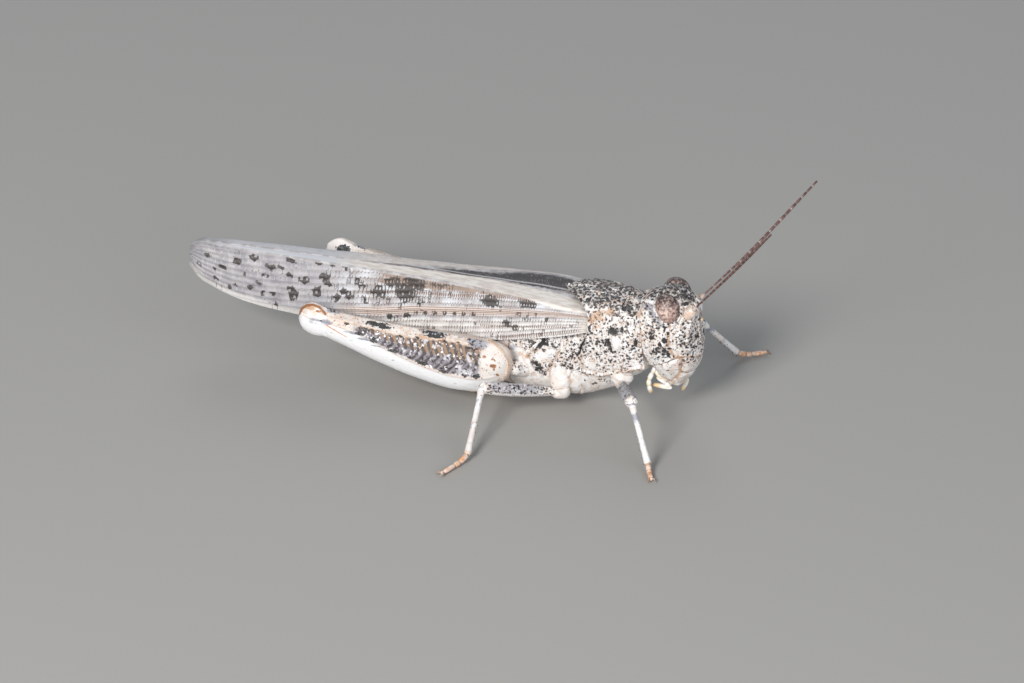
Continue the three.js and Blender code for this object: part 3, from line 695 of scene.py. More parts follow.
def speckled_finish(name, specks=0.12, roughness=0.6, tinge=0.45):
    """Ivory cuticle peppered with soot; reads dark, tan, slate and chalk."""
    finish, hue = Finish(name), colours()
    mix, ramp, lumps = finish.mix, finish.ramp, finish.lumps
    size = sizes().speck_size / MM
    dark, warm, cloud, white = finish.fields("dark", "tan", "slate", "chalk")
    spots = finish.painted("spots")
    broad = lumps(size * 6, 3)
    edge = lumps(size * 2, 3) - 0.5
    fine = lumps(size * 0.7, 3)
    coverage = dark + ramp(broad, 0.3, 0.7, specks - 0.06, specks + 0.06)
    ground = mix(ramp(broad + edge * 0.9, 0.35, 0.7, 0, tinge), hue.ivory, hue.blush)
    ground = mix(ramp(edge, -0.1, 0.02, 0.85, 0), ground, hue.chalk)
    ground = mix(white, ground, hue.chalk)
    ground = mix(ramp(warm + edge * 1.6, 0.2, 0.95) * 0.85, ground, hue.tan)
    ground = mix(ramp(cloud + edge * 1.3, 0.3, 0.9) * 0.75, ground, hue.slate)
    thick = mix(ramp(fine, 0.4, 0.6), (0.46, 0.42, 0.355), (0.235, 0.23, 0.24))
    ground = mix(ramp(coverage, 0.3, 0.6) * ramp(edge, -0.15, 0.15, 0.25, 0.9), ground, thick)
    large, large_luck, halo = pepper(finish, size * 1.18, coverage)
    small, small_luck, _ = pepper(finish, size * 0.8, coverage * 0.5 + 0.05)
    ground = mix(halo * 0.42, ground, (0.3, 0.275, 0.28))
    brown = mix(ramp(warm, 0.1, 0.5), hue.umber, (0.28, 0.12, 0.055))
    tone = mix(ramp(small_luck - coverage * 0.4, 0.2, 0.5), (0.11, 0.1, 0.105), brown)
    colour = mix(small * 0.7, ground, tone)
    large_tone = mix(ramp(large_luck + coverage * 0.5, 0.14, 0.34), brown, hue.soot)
    colour = mix(large * ramp(fine, 0.3, 0.5, 0.7, 1), colour, large_tone)
    rough_spots = spots + edge * 1.6 + (fine - 0.5) * 1.2
    colour = mix(ramp(rough_spots, 0.3, 0.5) * 0.45, colour, (0.13, 0.12, 0.135))
    colour = mix(ramp(rough_spots, 0.44, 0.56), colour, hue.soot)
    height = fine * 0.7 + lumps(size * 1.6, 2) * 0.6 - large * 0.15
    normal = finish.bump(height, 0.7, 0.05)
    return finish.done(colour, ramp(large, 0, 1, roughness, roughness - 0.15), Normal=normal)


def pale_finish(name):
    """Waxy ivory cuticle of hips, breast and neck, with tan folds; reads dark, tan and slate."""
    finish, hue = Finish(name), colours()
    mix, ramp, lumps = finish.mix, finish.ramp, finish.lumps
    dark, warm, cloud = finish.fields("dark", "tan", "slate")
    broad = lumps(0.8, 3)
    edge = lumps(0.22, 3) - 0.5
    ground = mix(ramp(broad + edge * 0.4, 0.35, 0.7, 0.1, 0.6), hue.chalk, (0.68, 0.55, 0.45))
    ground = mix(ramp(warm + edge * 0.6, 0.25, 0.95) * 0.9, ground, hue.tan)
    ground = mix(ramp(cloud + edge * 0.8, 0.3, 0.8) * 0.8, ground, hue.slate)
    crease = ramp(abs(lumps(0.9, stretch=(1, 1, 1.5)) - 0.5), 0.016, 0.004)
    ground = mix(crease * ramp(edge, -0.1, 0.1, 0.1, 0.65), ground, (0.4, 0.24, 0.14))
    marks, _, _ = pepper(finish, 0.2, dark)
    colour = mix(marks, ground, hue.soot)
    height = lumps(0.12, 3) * 0.6 + lumps(0.4, 2)
    return finish.done(colour, 0.5, Normal=finish.bump(height - crease * 0.8, 0.6, 0.04))


def banded_finish(name):
    """Legs: white with blue-grey and brown bands; reads band (place along the limb) and tan."""
    finish, hue = Finish(name), colours()
    mix, ramp, lumps = finish.mix, finish.ramp, finish.lumps
    band, warm, dark = finish.fields("band", "tan", "dark")
    edge = lumps(0.35, 3) - 0.5
    ground = mix(ramp(lumps(0.8), 0.4, 0.7, 0, 0.5), hue.chalk, hue.blush)
    ground = mix(ramp(band + edge * 1.1, 0.35, 0.75) * 0.85, ground, hue.slate)
    ground = mix(ramp(warm + edge, 0.3, 0.8) * 0.85, ground, hue.tan)
    marks = dark_share(finish, lumps(0.14, 2), dark + ramp(band, 0.3, 0.9, 0.03, 0.22))
    colour = mix(marks, ground, hue.soot)
    normal = finish.bump(lumps(0.1, 3), 0.5, 0.03)
    return finish.done(colour, 0.52, Normal=normal)


def thigh_finish(name):
    """The hind thigh: herringbone between two keels, cream above, chalk below."""
    finish, hue = Finish(name), colours()
    mix, ramp, lumps = finish.mix, finish.ramp, finish.lumps
    dark, warm, cloud, white = finish.fields("dark", "tan", "slate", "chalk")
    zone, rib, knee = finish.fields("zone", "rib", "chestnut")
    edge = lumps(0.4, 3) - 0.5
    fine = lumps(0.17, 2.5, 0.55)
    ground = mix(ramp(lumps(1.6, 3), 0.35, 0.65, 0.1, 0.75), hue.ivory, hue.blush)
    ground = mix(white, ground, (0.8, 0.795, 0.8))
    ground = mix(ramp(warm + edge * 1.2, 0.25, 0.85) * 0.9, ground, hue.tan)
    ground = mix(ramp(cloud + edge * 1.2, 0.3, 0.8) * 0.85, ground, hue.slate)
    # Between the keels the ribs are brown above, lavender below, and the furrows dark by turns.
    ribs = mix(ramp(warm, 0.1, 0.6), (0.26, 0.24, 0.27), (0.29, 0.185, 0.115))
    ribs = mix(ramp(lumps(0.4, 3), 0.54, 0.64), ribs, (0.52, 0.51, 0.54))
    furrows = mix(ramp(lumps(0.4, 3), 0.5, 0.62), (0.1, 0.08, 0.08), (0.56, 0.54, 0.56))
    bones = mix(ramp(rib + (fine - 0.5) * 0.6, 0.35, 0.6), furrows, ribs)
    flecks, _, _ = pepper(finish, 0.25, zone * 0.07 + white * zone)
    bones = mix(flecks, bones, hue.chalk)
    blots, _, _ = pepper(finish, 0.34, zone * 0.08)
    bones = mix(blots, bones, (0.045, 0.038, 0.038))
    ground = mix(zone, ground, bones)
    tiny, _, _ = pepper(finish, 0.15, ramp(white + zone, 0.5, 0, -0.05, 0.07))
    ground = mix(tiny * 0.8, ground, (0.24, 0.13, 0.075))
    marks = dark_share(finish, fine, dark + ramp(white, 0, 1, 0.04, -0.3))
    colour = mix(marks, ground, mix(ramp(lumps(0.09), 0.5, 0.62), hue.soot, (0.1, 0.105, 0.105)))
    orange = ramp(finish.painted("orange") + (fine - 0.5) * 0.8, 0.35, 0.9)
    colour = mix(orange, colour, (0.62, 0.27, 0.14))
    colour = mix(ramp(knee + (fine - 0.5) * 0.8, 0.3, 0.7), colour, hue.chestnut)
    height = lumps(0.11, 3) + fine * 0.4
    gloss = ramp(knee.greater(white), 0, 1, 0.58, 0.38)
    return finish.done(colour, gloss, Normal=finish.bump(height, 0.5, 0.035))


def forewing_finish(name):
    """Forewing: beaded veins on bluish white, blotches of filled cells, an ivory band along the ridge."""
    finish = Finish(name)
    mix, ramp, lumps = finish.mix, finish.ramp, finish.lumps
    along, across, vein = finish.fields("along", "across", "vein")
    dark, warm, band, clear = finish.fields("dark", "tan", "band", "clear")
    row = vein * CELL_ROWS
    row_number = row.floor()
    shifted = along + finish.random(row_number, 3, 1) * 7.3 + lumps(0.5) * 0.8
    column = shifted.floor()
    in_row, in_column = row.fract(), shifted.fract()
    luck = finish.random(row_number, column, 5)
    fine = lumps(0.13, 2)
    broad = lumps(0.9, 3)
    # Long veins between rows; cross-veins between columns hang from them as short ticks.
    from_middle = abs(in_row - 0.5)
    long_vein = ramp(from_middle, 0.42, 0.49)
    cross_vein = ramp(abs(in_column - 0.5), 0.3, 0.4)
    hanging = ramp(from_middle + (luck - 0.5) * 0.4, 0.2, 0.32)
    front = ramp(vein, 0.12, 0.25) * (1 - clear)
    pale = mix(front, (0.6, 0.605, 0.63), (0.67, 0.645, 0.62))
    ground = mix(ramp(broad, 0.35, 0.62) * (1 - front * 0.55), pale, (0.385, 0.36, 0.36))
    smoky = mix(ramp(broad, 0.3, 0.7), (0.255, 0.245, 0.265), (0.4, 0.38, 0.39))
    smoky = mix(finish.painted("rim") * 0.8, smoky, (0.52, 0.5, 0.475))
    ground = mix(clear, ground, smoky)
    net = (long_vein * 0.7).greater(cross_vein * ramp(luck, 0.3, 0.7, 0.1, 0.8))
    colour = mix(net * clear * 0.45, ground, (0.6, 0.59, 0.61))
    brown = mix(ramp(fine, 0.4, 0.6), (0.085, 0.055, 0.045), (0.27, 0.185, 0.145))
    ticks = cross_vein * hanging * ramp(luck, 0.12, 0.3)
    lines = long_vein * ramp(fine, 0.35, 0.6, 0.25, 0.8)
    colour = mix(lines.greater(ticks * 0.9) * (1 - clear * 0.9), colour, brown)
    colour = mix(ramp(warm + (fine - 0.5) * 1.1, 0.3, 0.75) * 0.85, colour, (0.27, 0.185, 0.135))
    stripe = ramp(abs((vein * 27).fract() - 0.5), 0.22, 0.36)
    striped = mix(stripe * ramp(fine, 0.3, 0.5, 0.6, 1), (0.6, 0.52, 0.47), (0.26, 0.165, 0.13))
    colour = mix(finish.painted("stripes"), colour, striped)
    beads = finish.painted("beads") * ramp(abs((along * 1.3).fract() - 0.5), 0.28, 0.18)
    colour = mix(ramp(beads, 0.35, 0.6) * 0.9, colour, (0.16, 0.085, 0.06))
    # Dark cells: whole cells fill in, more of them where the blotches are.
    filled = ramp(dark * 1.3 + (luck - 0.5) * 0.5 + (fine - 0.5) * 1.1, 0.42, 0.58)
    edged = cross_vein.greater(long_vein) * ramp(dark + luck * 0.4 + (fine - 0.5) * 0.6, 0.3, 0.5)
    strays = ramp(luck, 0.93, 0.935) * ramp(fine + in_column * 0.1, 0.5, 0.58) * (1 - clear)
    # Some dark cells keep a pale core.
    core = from_middle.greater(abs(in_column - 0.5))
    filled = filled * (1 - ramp(core, 0.26, 0.16) * ramp(luck, 0.5, 0.52) * 0.8)
    soot = mix(ramp(fine, 0.5, 0.66), (0.024, 0.018, 0.016), (0.085, 0.068, 0.06))
    colour = mix(filled.greater(edged * 0.9).greater(strays * 0.8) * 0.95, colour, soot)
    streak = lumps(0.2, 3, stretch=(0.25, 1, 1))
    plain = mix(ramp(streak, 0.4, 0.65), (0.66, 0.62, 0.57), (0.53, 0.46, 0.41))
    plain = mix(ramp(clear + streak * 0.5, 0.2, 1), plain, (0.5, 0.505, 0.53))
    colour = mix(band, colour, plain)
    # The flat top between the ridges: soot hatched across, with pale long veins.
    top = finish.painted("top")
    comb = (along * 0.8 + across * 5 + lumps(0.3) * 2.5).fract()
    hatch = ramp(comb, 0.66, 0.84) * ramp(lumps(0.4), 0.42, 0.62, 0, 0.5)
    top_dark = mix(hatch, (0.032, 0.026, 0.026), (0.3, 0.265, 0.255))
    top_pale = mix(ramp(lumps(0.5, 3), 0.4, 0.6), (0.52, 0.5, 0.505), (0.34, 0.315, 0.31))
    top_colour = mix(finish.painted("topdark"), top_pale, top_dark)
    top_colour = mix(finish.painted("topvein"), top_colour, (0.6, 0.585, 0.585))
    colour = mix(top * (1 - band), colour, top_colour)
    height = long_vein.greater(cross_vein) * (1 - band) * 0.7 + fine * 0.3
    normal = finish.bump(height, 0.6, 0.018)
    alpha = ramp(finish.painted("glass"), 0, 1, 1, 0.62)
    return finish.done(colour, 0.48, Normal=normal, Alpha=alpha)


def hindwing_finish(name):
    """Folded hindwing: smoky film with brown veins in the pleats."""
    finish, hue = Finish(name), colours()
    mix, ramp, lumps = finish.mix, finish.ramp, finish.lumps
    pleat = finish.painted("pleat")
    ground = mix(ramp(lumps(1.2), 0.35, 0.65), (0.52, 0.48, 0.44), (0.4, 0.36, 0.33))
    colour = mix(ramp(pleat, 0.72, 0.92), ground, hue.umber)
    return finish.done(colour, 0.4, Normal=finish.bump(pleat, 0.4, 0.03))


def eye_finish(name):
    """Faceted eye: mottled pinkish brown with a painted highlight in its middle and a dark rim; reads pale
    (the painted highlight) and rim.
    """
    finish, hue = Finish(name), colours()
    mix, ramp, lumps = finish.mix, finish.ramp, finish.lumps
    pale, rim = finish.fields("pale", "rim")
    mottle = lumps(0.17, 3, 0.6)
    colour = mix(ramp(mottle, 0.39, 0.48), (0.1, 0.06, 0.053), hue.eye_brown)
    colour = mix(ramp(mottle, 0.51, 0.6) * 0.75, colour, (0.52, 0.4, 0.36))
    # Painted highlight: a cream reflection painted in the middle of the eye, where the pale field is high.
    colour = mix(pale * ramp(mottle, 0.4, 0.55, 0.2, 0.95), colour, (0.72, 0.55, 0.47))
    colour = mix(rim * ramp(mottle, 0.47, 0.58, 0.97, 0.35), colour, (0.05, 0.036, 0.035))
    facets = finish.cells(finish.place, sizes().facet_size / MM)
    normal = finish.bump(facets, 0.5, 0.014)
    return finish.done(colour, 0.42, Normal=normal, Coat_Weight=0.06)


def feeler_finish(name):
    """Feelers: dark red-brown whip, cream root; reads pale and ring."""
    finish, hue = Finish(name), colours()
    mix, ramp, lumps = finish.mix, finish.ramp, finish.lumps
    pale, ring = finish.fields("pale", "ring")
    whip = mix(ramp(lumps(0.3), 0.35, 0.65), hue.feeler_brown, (0.14, 0.062, 0.05))
    whip = mix(ring, whip, (0.5, 0.44, 0.42))
    root = mix(ramp(lumps(0.25, 3), 0.4, 0.62), hue.ivory, (0.64, 0.47, 0.37))
    colour = mix(pale, whip, root)
    marks = dark_share(finish, lumps(0.13, 2), pale * 0.08)
    return finish.done(mix(marks, colour, hue.soot), 0.5, Normal=finish.bump(lumps(0.06), 0.4, 0.012))


def mouth_finish(name):
    """Jaw feelers: cream, honey toward the tips; reads honey."""
    finish, hue = Finish(name), colours()
    mix, ramp, lumps = finish.mix, finish.ramp, finish.lumps
    tip = finish.painted("honey")
    cream = mix(ramp(lumps(0.5), 0.4, 0.6), hue.chalk, (0.8, 0.72, 0.56))
    colour = mix(tip, cream, hue.honey)
    return finish.done(colour, 0.42, Normal=finish.bump(lumps(0.12), 0.3, 0.015))


def foot_finish(name):
    """Feet: orange-tan joints, amber and dark claw tips; reads claw and pale."""
    finish, hue = Finish(name), colours()
    mix, ramp, lumps = finish.mix, finish.ramp, finish.lumps
    claw, pale = finish.fields("claw", "pale")
    ground = mix(ramp(lumps(0.3, 3), 0.4, 0.62), hue.foot_orange, (0.72, 0.55, 0.46))
    ground = mix(pale, ground, hue.ivory)
    colour = mix(claw, ground, (0.12, 0.045, 0.02))
    return finish.done(colour, 0.42, Normal=finish.bump(lumps(0.1), 0.4, 0.02))


def abdomen_finish(name):
    """Abdomen: cream rings with brown rear margins and fine specks; reads margin and side."""
    finish, hue = Finish(name), colours()
    mix, ramp, lumps = finish.mix, finish.ramp, finish.lumps
    margin, side = finish.fields("margin", "side")
    ground = mix(ramp(lumps(0.8, 3), 0.35, 0.65), hue.ivory, hue.blush)
    ground = mix(side * ramp(lumps(0.5, 3), 0.4, 0.6, 0.2, 0.8), ground, hue.slate)
    ground = mix(margin * 0.75, ground, (0.4, 0.26, 0.17))
    marks = dark_share(finish, lumps(0.16, 2), 0.06 + side * 0.14)
    colour = mix(marks, ground, hue.soot)
    return finish.done(colour, 0.55, Normal=finish.bump(lumps(0.14, 3), 0.5, 0.03))


def bead_finish(name):
    """Simple eyes: glassy amber beads."""
    finish = Finish(name)
    streak = finish.ramp(finish.lumps(0.15), 0.4, 0.6)
    return finish.done(finish.mix(streak, (0.55, 0.36, 0.2), (0.72, 0.55, 0.38)), 0.15, Coat_Weight=0.6)


def floor_finish(name):
    """Matt pale floor."""
    finish, hue = Finish(name), colours()
    tone = finish.ramp(finish.lumps(40), 0.3, 0.7, 0, 0.12)
    return finish.done(finish.mix(tone, hue.floor, (0.36, 0.35, 0.335)), 0.85)


# ---------------------------------------------------------------- head


def head_form(along, around):
    """The head capsule, as rounded-square sections from the lip up to the crown."""
    back, front, half, square = HEAD.several(along, "back", "front", "half_width", "square")
    widest = lerp(back, front, HEAD_WIDEST)
    square = np.where(np.sin(around) > 0, square, NAPE_SQUARENESS)
    forward = bent(np.sin(around), square)
    reach = np.where(forward > 0, front - widest, widest - back)
    across = half * bent(np.cos(around), square)
    return np.column_stack((widest + forward * reach, across, HEAD.at("z", along)))


def eye_distance(points):
    """How far points lie from the nearer eye's middle, counted in eye radii."""
    x, y, z = points.T
    centre, reach = EYE["centre"], EYE["reach"]
    outward, upward = np.abs(y) - centre[1], z - centre[2]
    turn_cos, turn_sin = math.cos(EYE["lean"]), math.sin(EYE["lean"])
    level = outward * turn_cos + upward * turn_sin
    height = upward * turn_cos - outward * turn_sin
    return np.sqrt(((x - centre[0]) / reach[0]) ** 2 + (level / reach[1]) ** 2 + (height / reach[2]) ** 2)


def root_distance(points):
    """How far points lie from the middle of their side's feeler root."""
    roots = [
        np.linalg.norm(points * (1, side, 1) - ANTENNA_ROOTS[name], axis=1) for name, side in SIDES.items()
    ]
    return np.minimum(*roots)


SUBOCULAR = ((7.45, 7.3), (7.42, 6.4), (7.5, 5.7), (7.78, 5.1))  # the seam below each eye
CHEEK_REAR = ((5.5, 8.3), (5.62, 7.2), (5.74, 5.3), (6.2, 4.15))
CHEEK_FOOT = ((6.15, 4.12), (7, 4.5), (7.85, 5.06), (8.4, 5.02), (8.9, 4.72), (9.4, 4.6))
FACE_KEEL = ((1.05, 7.35), (1.3, 6.6), (1.38, 5.9), (1.2, 5.35))  # half width and height
COSTA_EDGE = ((0.2, 8.5), (0.34, 7.9), (0.36, 7.2), (0.3, 6.6), (0.4, 5.4))


def head_relief(points):
    """Keels, sutures, eye rims and the hollow below the cheeks, in millimetres."""
    x, y, z = points.T
    away = np.abs(y)
    on_side = ease(away, 0.9, 1.3)
    on_face = ease(x, 8, 8.45)
    height = -0.08 * ridge(x, z, SUBOCULAR, 0.07) * on_side
    height += 0.03 * ridge(x + 0.12, z, SUBOCULAR, 0.09) * on_side
    height += 0.06 * ridge(x, z, CHEEK_REAR, 0.13) * on_side
    height -= 0.07 * ridge(x + 0.22, z, CHEEK_REAR, 0.07) * on_side
    rim = follow(x, CHEEK_RIM)
    height -= 0.16 * ease(rim - z, -0.04, 0.1)
    height += 0.05 * bump_at(z, rim + 0.12, 0.1)
    height += 0.07 * patches(x, z, ((6.85, 5.9, 0.7, 1.1, 1), (8.3, 6.1, 0.55, 0.9, 1))) * on_side
    height += 0.06 * ridge(away, z, FACE_KEEL, 0.08) * on_face
    height += 0.075 * ridge(away, z, COSTA_EDGE, 0.075) * ease(x, 7.9, 8.3)
    height -= 0.06 * bump_at(z, 6.95, 0.22) * bump_at(away, 0, 0.22) * on_face
    height += 0.34 * bump_at(x, 7.35, 0.85) * bump_at(away, 0, 0.8) * ease(z, 8.1, 8.45)
    height -= 0.08 * bump_at(away, 0, 0.3) * bump_at(x, 7.9, 0.3) * ease(z, 8, 8.3)
    height += 0.045 * bump_at(away, 0, 0.05) * ease(z, 8.2, 8.5) * ease(-x, -7.4, -7)
    ring = eye_distance(points)
    height += 0.085 * bump_at(ring, 1.15, 0.09)
    height -= 0.05 * bump_at(ring, 1.36, 0.1)
    root = root_distance(points)
    height += 0.05 * bump_at(root, 0.52, 0.08) - 0.12 * ease(-root, -0.44, -0.28)
    height += 0.02 * grain(points, 0.28, 3) + 0.014 * grain(points, 0.13, 7)
    return height


# Marks on the head, as seen: place, reaches and strength.
HEAD_SPOTS = (
    (7.13, 7.05, 0.1, 0.25, 1), (6.71, 7, 0.15, 0.12, 1), (7.34, 6.77, 0.09, 0.16, 1),
    (6.14, 7.1, 0.12, 0.12, 0.9), (6.3, 6.26, 0.14, 0.15, 1), (7.11, 6.22, 0.18, 0.25, 1.3),
    (6.85, 5.88, 0.16, 0.16, 1), (7.47, 5.7, 0.16, 0.1, 1), (7.38, 5.22, 0.12, 0.2, 1.1),
    (9.2, 6.83, 0.15, 0.13, 1), (8.32, 7.58, 0.09, 0.12, 0.9), (8.45, 6.74, 0.07, 0.1, 0.9),
    (8.53, 5.95, 0.12, 0.08, 0.9), (9.01, 6.02, 0.12, 0.1, 0.9), (8.8, 6.85, 0.09, 0.07, 0.8),
    (8.4, 6.2, 0.08, 0.12, 0.8), (6.3, 6.55, 0.2, 0.09, 0.7), (6.45, 5.3, 0.12, 0.12, 0.8),
    (6.85, 5.3, 0.12, 0.1, 0.7), (7.1, 5.5, 0.15, 0.1, 0.8), (8.95, 5.35, 0.14, 0.08, 0.8),
    (8.6, 5.5, 0.12, 0.08, 0.8), (8.3, 4.3, 0.08, 0.07, 0.8), (9.1, 4.95, 0.1, 0.1, 0.7),
)
HEAD_SOOTY = (
    (7.06, 5.42, 0.42, 0.27, 0.6), (6.5, 5.25, 0.3, 0.24, 0.5), (6.72, 5.56, 0.2, 0.15, 0.6),
    (8.68, 9.55, 0.5, 0.6, 0.55), (8.15, 9.2, 0.25, 0.3, 0.4), (6.4, 9.35, 0.6, 0.25, 0.5),
    (8.74, 5.6, 0.35, 0.2, 0.3), (9, 6.6, 0.4, 0.8, 0.24), (8.35, 6.7, 0.5, 0.8, 0.18),
    (6.15, 8.2, 0.4, 0.55, 0.25), (6.2, 6.9, 0.4, 0.5, 0.2),
)
HEAD_CLOUDS = (
    (6.12, 8.35, 0.46, 0.3, 1.4), (6.35, 7.9, 0.36, 0.34, 1.2), (6.75, 7.6, 0.4, 0.2, 0.8),
    (6.32, 6.5, 0.25, 0.3, 0.7), (6.95, 5.4, 0.6, 0.35, 0.75), (8.74, 5.57, 0.3, 0.2, 0.7),
    (8.6, 7.75, 0.3, 0.2, 0.6), (7.1, 6.25, 0.3, 0.3, 0.5),
)


def paint_head(piece):
    points = points_of(piece)
    x, y, z = points.T
    across, up = seen(points, HEAD_PLANE)
    away = np.abs(y)
    crown = ease(z, 8.1, 8.4)
    below = ease(follow(x, CHEEK_RIM) - z, -0.02, 0.12)
    dark = highest(
        patches(across, up, HEAD_SOOTY), 0.5 * crown, 0.12 * ease(x, 7.7, 8.2) * ease(z, 5.3, 5.6), 0.02,
    )
    dark = dark * (1 - 0.8 * ease(5.1 - z, 0, 0.4))
    bar = patches(across, up, ((6.24, 8.76, 0.38, 0.13, 1),))
    dark = dark * (1 - bar) - 0.2 * bar - 0.3 * below
    sutures = highest(
        ridge(x, z, SUBOCULAR, 0.09) * ease(away, 0.9, 1.2),
        ridge(x, z, CHEEK_REAR, 0.08) * 0.8,
        ridge(x, z, CHEEK_FOOT, 0.09),
        patches(x, z, ((7.95, 5.05, 0.14, 0.22, 1),)),
        0.75 * bump_at(root_distance(points), 0.47, 0.06),
    )
    rim = 0.5 * bump_at(eye_distance(points), 1.1, 0.06) * ease(z, 8.1, 7.6)
    dark = dark * (1 - 0.9 * ease(sutures, 0.3, 0.7)) + rim
    chalk = highest(bar, 0.7 * ease(5.5 - z, 0, 0.6), 0.5 * below)
    ring = bump_at(eye_distance(points), 1.2, 0.16) * ease(z, 8, 7.5) * ease(-x, -7.6, -7.2)
    slate = highest(0.75 * patches(across, up, HEAD_CLOUDS), 0.8 * ring)
    spots = patches(*seen_rough(points, HEAD_PLANE, 0.07), HEAD_SPOTS) * (1 - crown)
    paint(
        piece, dark=dark * (1 - 0.7 * ring), tan=highest(sutures * 0.95, 0.25 * below), slate=slate,
        chalk=chalk, spots=spots,
    )


def panel_on_head(name, columns, rows, spot):
    """A raised plate on the head; spot(across, along) gives its points and how far they are raised."""

    def form(across, along):
        points, outward = spot(across, along)
        edge = (1 - (2 * across - 1) ** 6) * (1 - (2 * along - 1) ** 6)
        return points + outward * (edge**0.5)[:, None]

    return panel(name, columns, rows, form)


def head_section(z):
    """The head's back, front, half width and squareness at given heights."""
    run = HEAD.columns["run"]
    fine = np.linspace(run[0], run[-1], 400)
    heights = HEAD.at("z", fine)
    return [
        np.interp(z, heights, HEAD.at(name, fine)) for name in ("back", "front", "half_width", "square")
    ]


def head_side_y(x, z):
    """Half the head's width at a place seen from the side."""
    back, front, half, square = head_section(z)
    widest = lerp(back, front, HEAD_WIDEST)
    reach = np.where(x > widest, front - widest, widest - back)
    square = np.where(x > widest, square, NAPE_SQUARENESS)
    share = np.clip(np.abs(x - widest) / highest(reach, 0.01), 0, 1)
    return half * (1 - share**square) ** (1 / square)


def head_front_x(y, z):
    """Where the face is, at a place seen from the front."""
    back, front, half, square = head_section(z)
    widest = lerp(back, front, HEAD_WIDEST)
    share = np.clip(np.abs(y) / highest(half, 0.01), 0, 1)
    return widest + (front - widest) * (1 - share**square) ** (1 / square)


class GRASSHOPPER_OT_head(bpy.types.Operator):
    """Adds the head capsule with its keels, sutures and eye rims"""

    bl_idname = "grasshopper.head"
    bl_label = "Head"

    def execute(self, context):
        capsule = skin("head_capsule", 200, 170, head_form)
        emboss(capsule, head_relief)
        paint_head(capsule)
        settle(capsule, speckled_finish("head cuticle", 0.1), "speckled_cuticle", "head")
        return {"FINISHED"}


class GRASSHOPPER_OT_eyes(bpy.types.Operator):
    """Adds the two faceted eyes and the three simple ones"""

    bl_idname = "grasshopper.eyes"
    bl_label = "Eyes"

    def execute(self, context):
        finish = eye_finish("faceted eye")
        centre, reach, lean = EYE["centre"], EYE["reach"], EYE["lean"]
        for name, side in SIDES.items():
            clear_selection()
            bpy.ops.mesh.primitive_uv_sphere_add(segments=96, ring_count=64, radius=1)
            eye = named(f"faceted_eye_{name}")
            self.slim_below(eye)
            eye.scale = reach
            eye.rotation_euler = (side * lean, 0, 0)
            eye.location = (centre[0], side * centre[1], centre[2])
            bpy.ops.object.transform_apply(location=True, rotation=True, scale=True)
            x, _, z = points_of(eye).T
            # The pale field is a painted highlight, a cream reflection in the middle of the eye.
            pale = patches(x, z, ((centre[0] - 0.08, centre[2] + 0.02, 0.3, 0.26, 1),))
            rim = ease(eye_distance(np.column_stack((x, np.full_like(x, centre[1]), z))), 0.86, 1)
            rim = highest(rim, 0.95 * ease(z, centre[2] + 0.25, centre[2] + 0.65))
            paint(eye, pale=pale, rim=np.clip(rim, 0, 1))
            settle(eye, finish, "eye_surface", f"eye_{name}")
        self.add_simple_eyes()
        return {"FINISHED"}

    def slim_below(self, ball):
        """Makes a unit ball narrower toward its foot, which also lies farther forward."""
        points = points_of(ball)
        points[:, 0] = points[:, 0] * (1 + 0.13 * points[:, 2]) - 0.2 * points[:, 2]
        move_points(ball, points)

    def add_simple_eyes(self):
        finish = bead_finish("simple eye")
        beads = []
        for place, size in (((8.93, 0, 6.95), 0.13), ((8.42, 0.62, 8.12), 0.1), ((8.42, -0.62, 8.12), 0.1)):
            clear_selection()
            bpy.ops.mesh.primitive_uv_sphere_add(segments=24, ring_count=16, radius=size, location=place)
            bpy.ops.object.transform_apply(location=True, rotation=True, scale=True)
            beads.append(named("simple_eye"))
        simple = joined("simple_eyes", beads)
        settle(simple, finish, "eye_surface")


JOINT_RINGS = ((0, 0.5), (0.05, 0.82), (0.25, 0.98), (0.6, 1), (0.88, 0.96), (0.97, 0.8), (1, 0.5))
WHIP_WIDTH = Stations(share=(0, 0.3, 0.75, 1), width=(0.6, 0.85, 1, 0.62))
ROOT_RINGS = ((0, 0.45), (0.1, 0.8), (0.35, 1), (0.7, 0.95), (0.92, 0.7), (1, 0.4))


class GRASSHOPPER_OT_feelers(bpy.types.Operator):
    """Adds the two feelers: a swollen root joint, a small second joint and a jointed whip"""

    bl_idname = "grasshopper.feelers"
    bl_label = "Feelers"

    def execute(self, context):
        finish = feeler_finish("feeler")
        joint = turned("feeler_joint", JOINT_RINGS, sides=14)
        root = subdivided(turned("feeler_root", ROOT_RINGS, sides=14), 1)
        count = sizes().feeler_joints
        half_width = sizes().feeler_width / MM / 2
        for name, side in SIDES.items():
            start = Vector(ANTENNA_ROOTS[name])
            bend, tip = (Vector(place) for place in ANTENNA_WAYS[name])
            forward = (bend - start).normalized()
            second_end = start + forward * 0.74
            way = Stations(share=(0, 0.42, 1), **dict(zip("xyz", zip(second_end, bend, tip))))
            shares = np.linspace(0, 1, count + 1)
            knots = np.column_stack([way.at(axis, shares) for axis in "xyz"])
            pieces = [
                copy_of(root, "feeler_part", aimed(start - forward * 0.5, start + forward * 0.44, 0.38)),
                copy_of(root, "feeler_part", aimed(start + forward * 0.3, second_end, 0.16)),
            ]
            for piece, paleness in zip(pieces, (1, 0.7)):
                paint(piece, pale=paleness, ring=0)
            for number in range(count):
                here, there = Vector(knots[number]), Vector(knots[number + 1])
                width = half_width * WHIP_WIDTH.at("width", number / count)
                part = copy_of(joint, "feeler_part", aimed(here - (there - here) * 0.04, there, width))
                foot = ease(-joint_height(joint), -0.3, -0.12)
                paint(part, pale=0, ring=foot * (0.8 if number % 2 == 0 else 0.25))
                pieces.append(part)
            feeler = mirrored(joined(f"feeler_{name}", pieces), side)
            settle(feeler, finish, "feeler_cuticle", f"antenna_{name}")
        discard(joint, root)
        return {"FINISHED"}


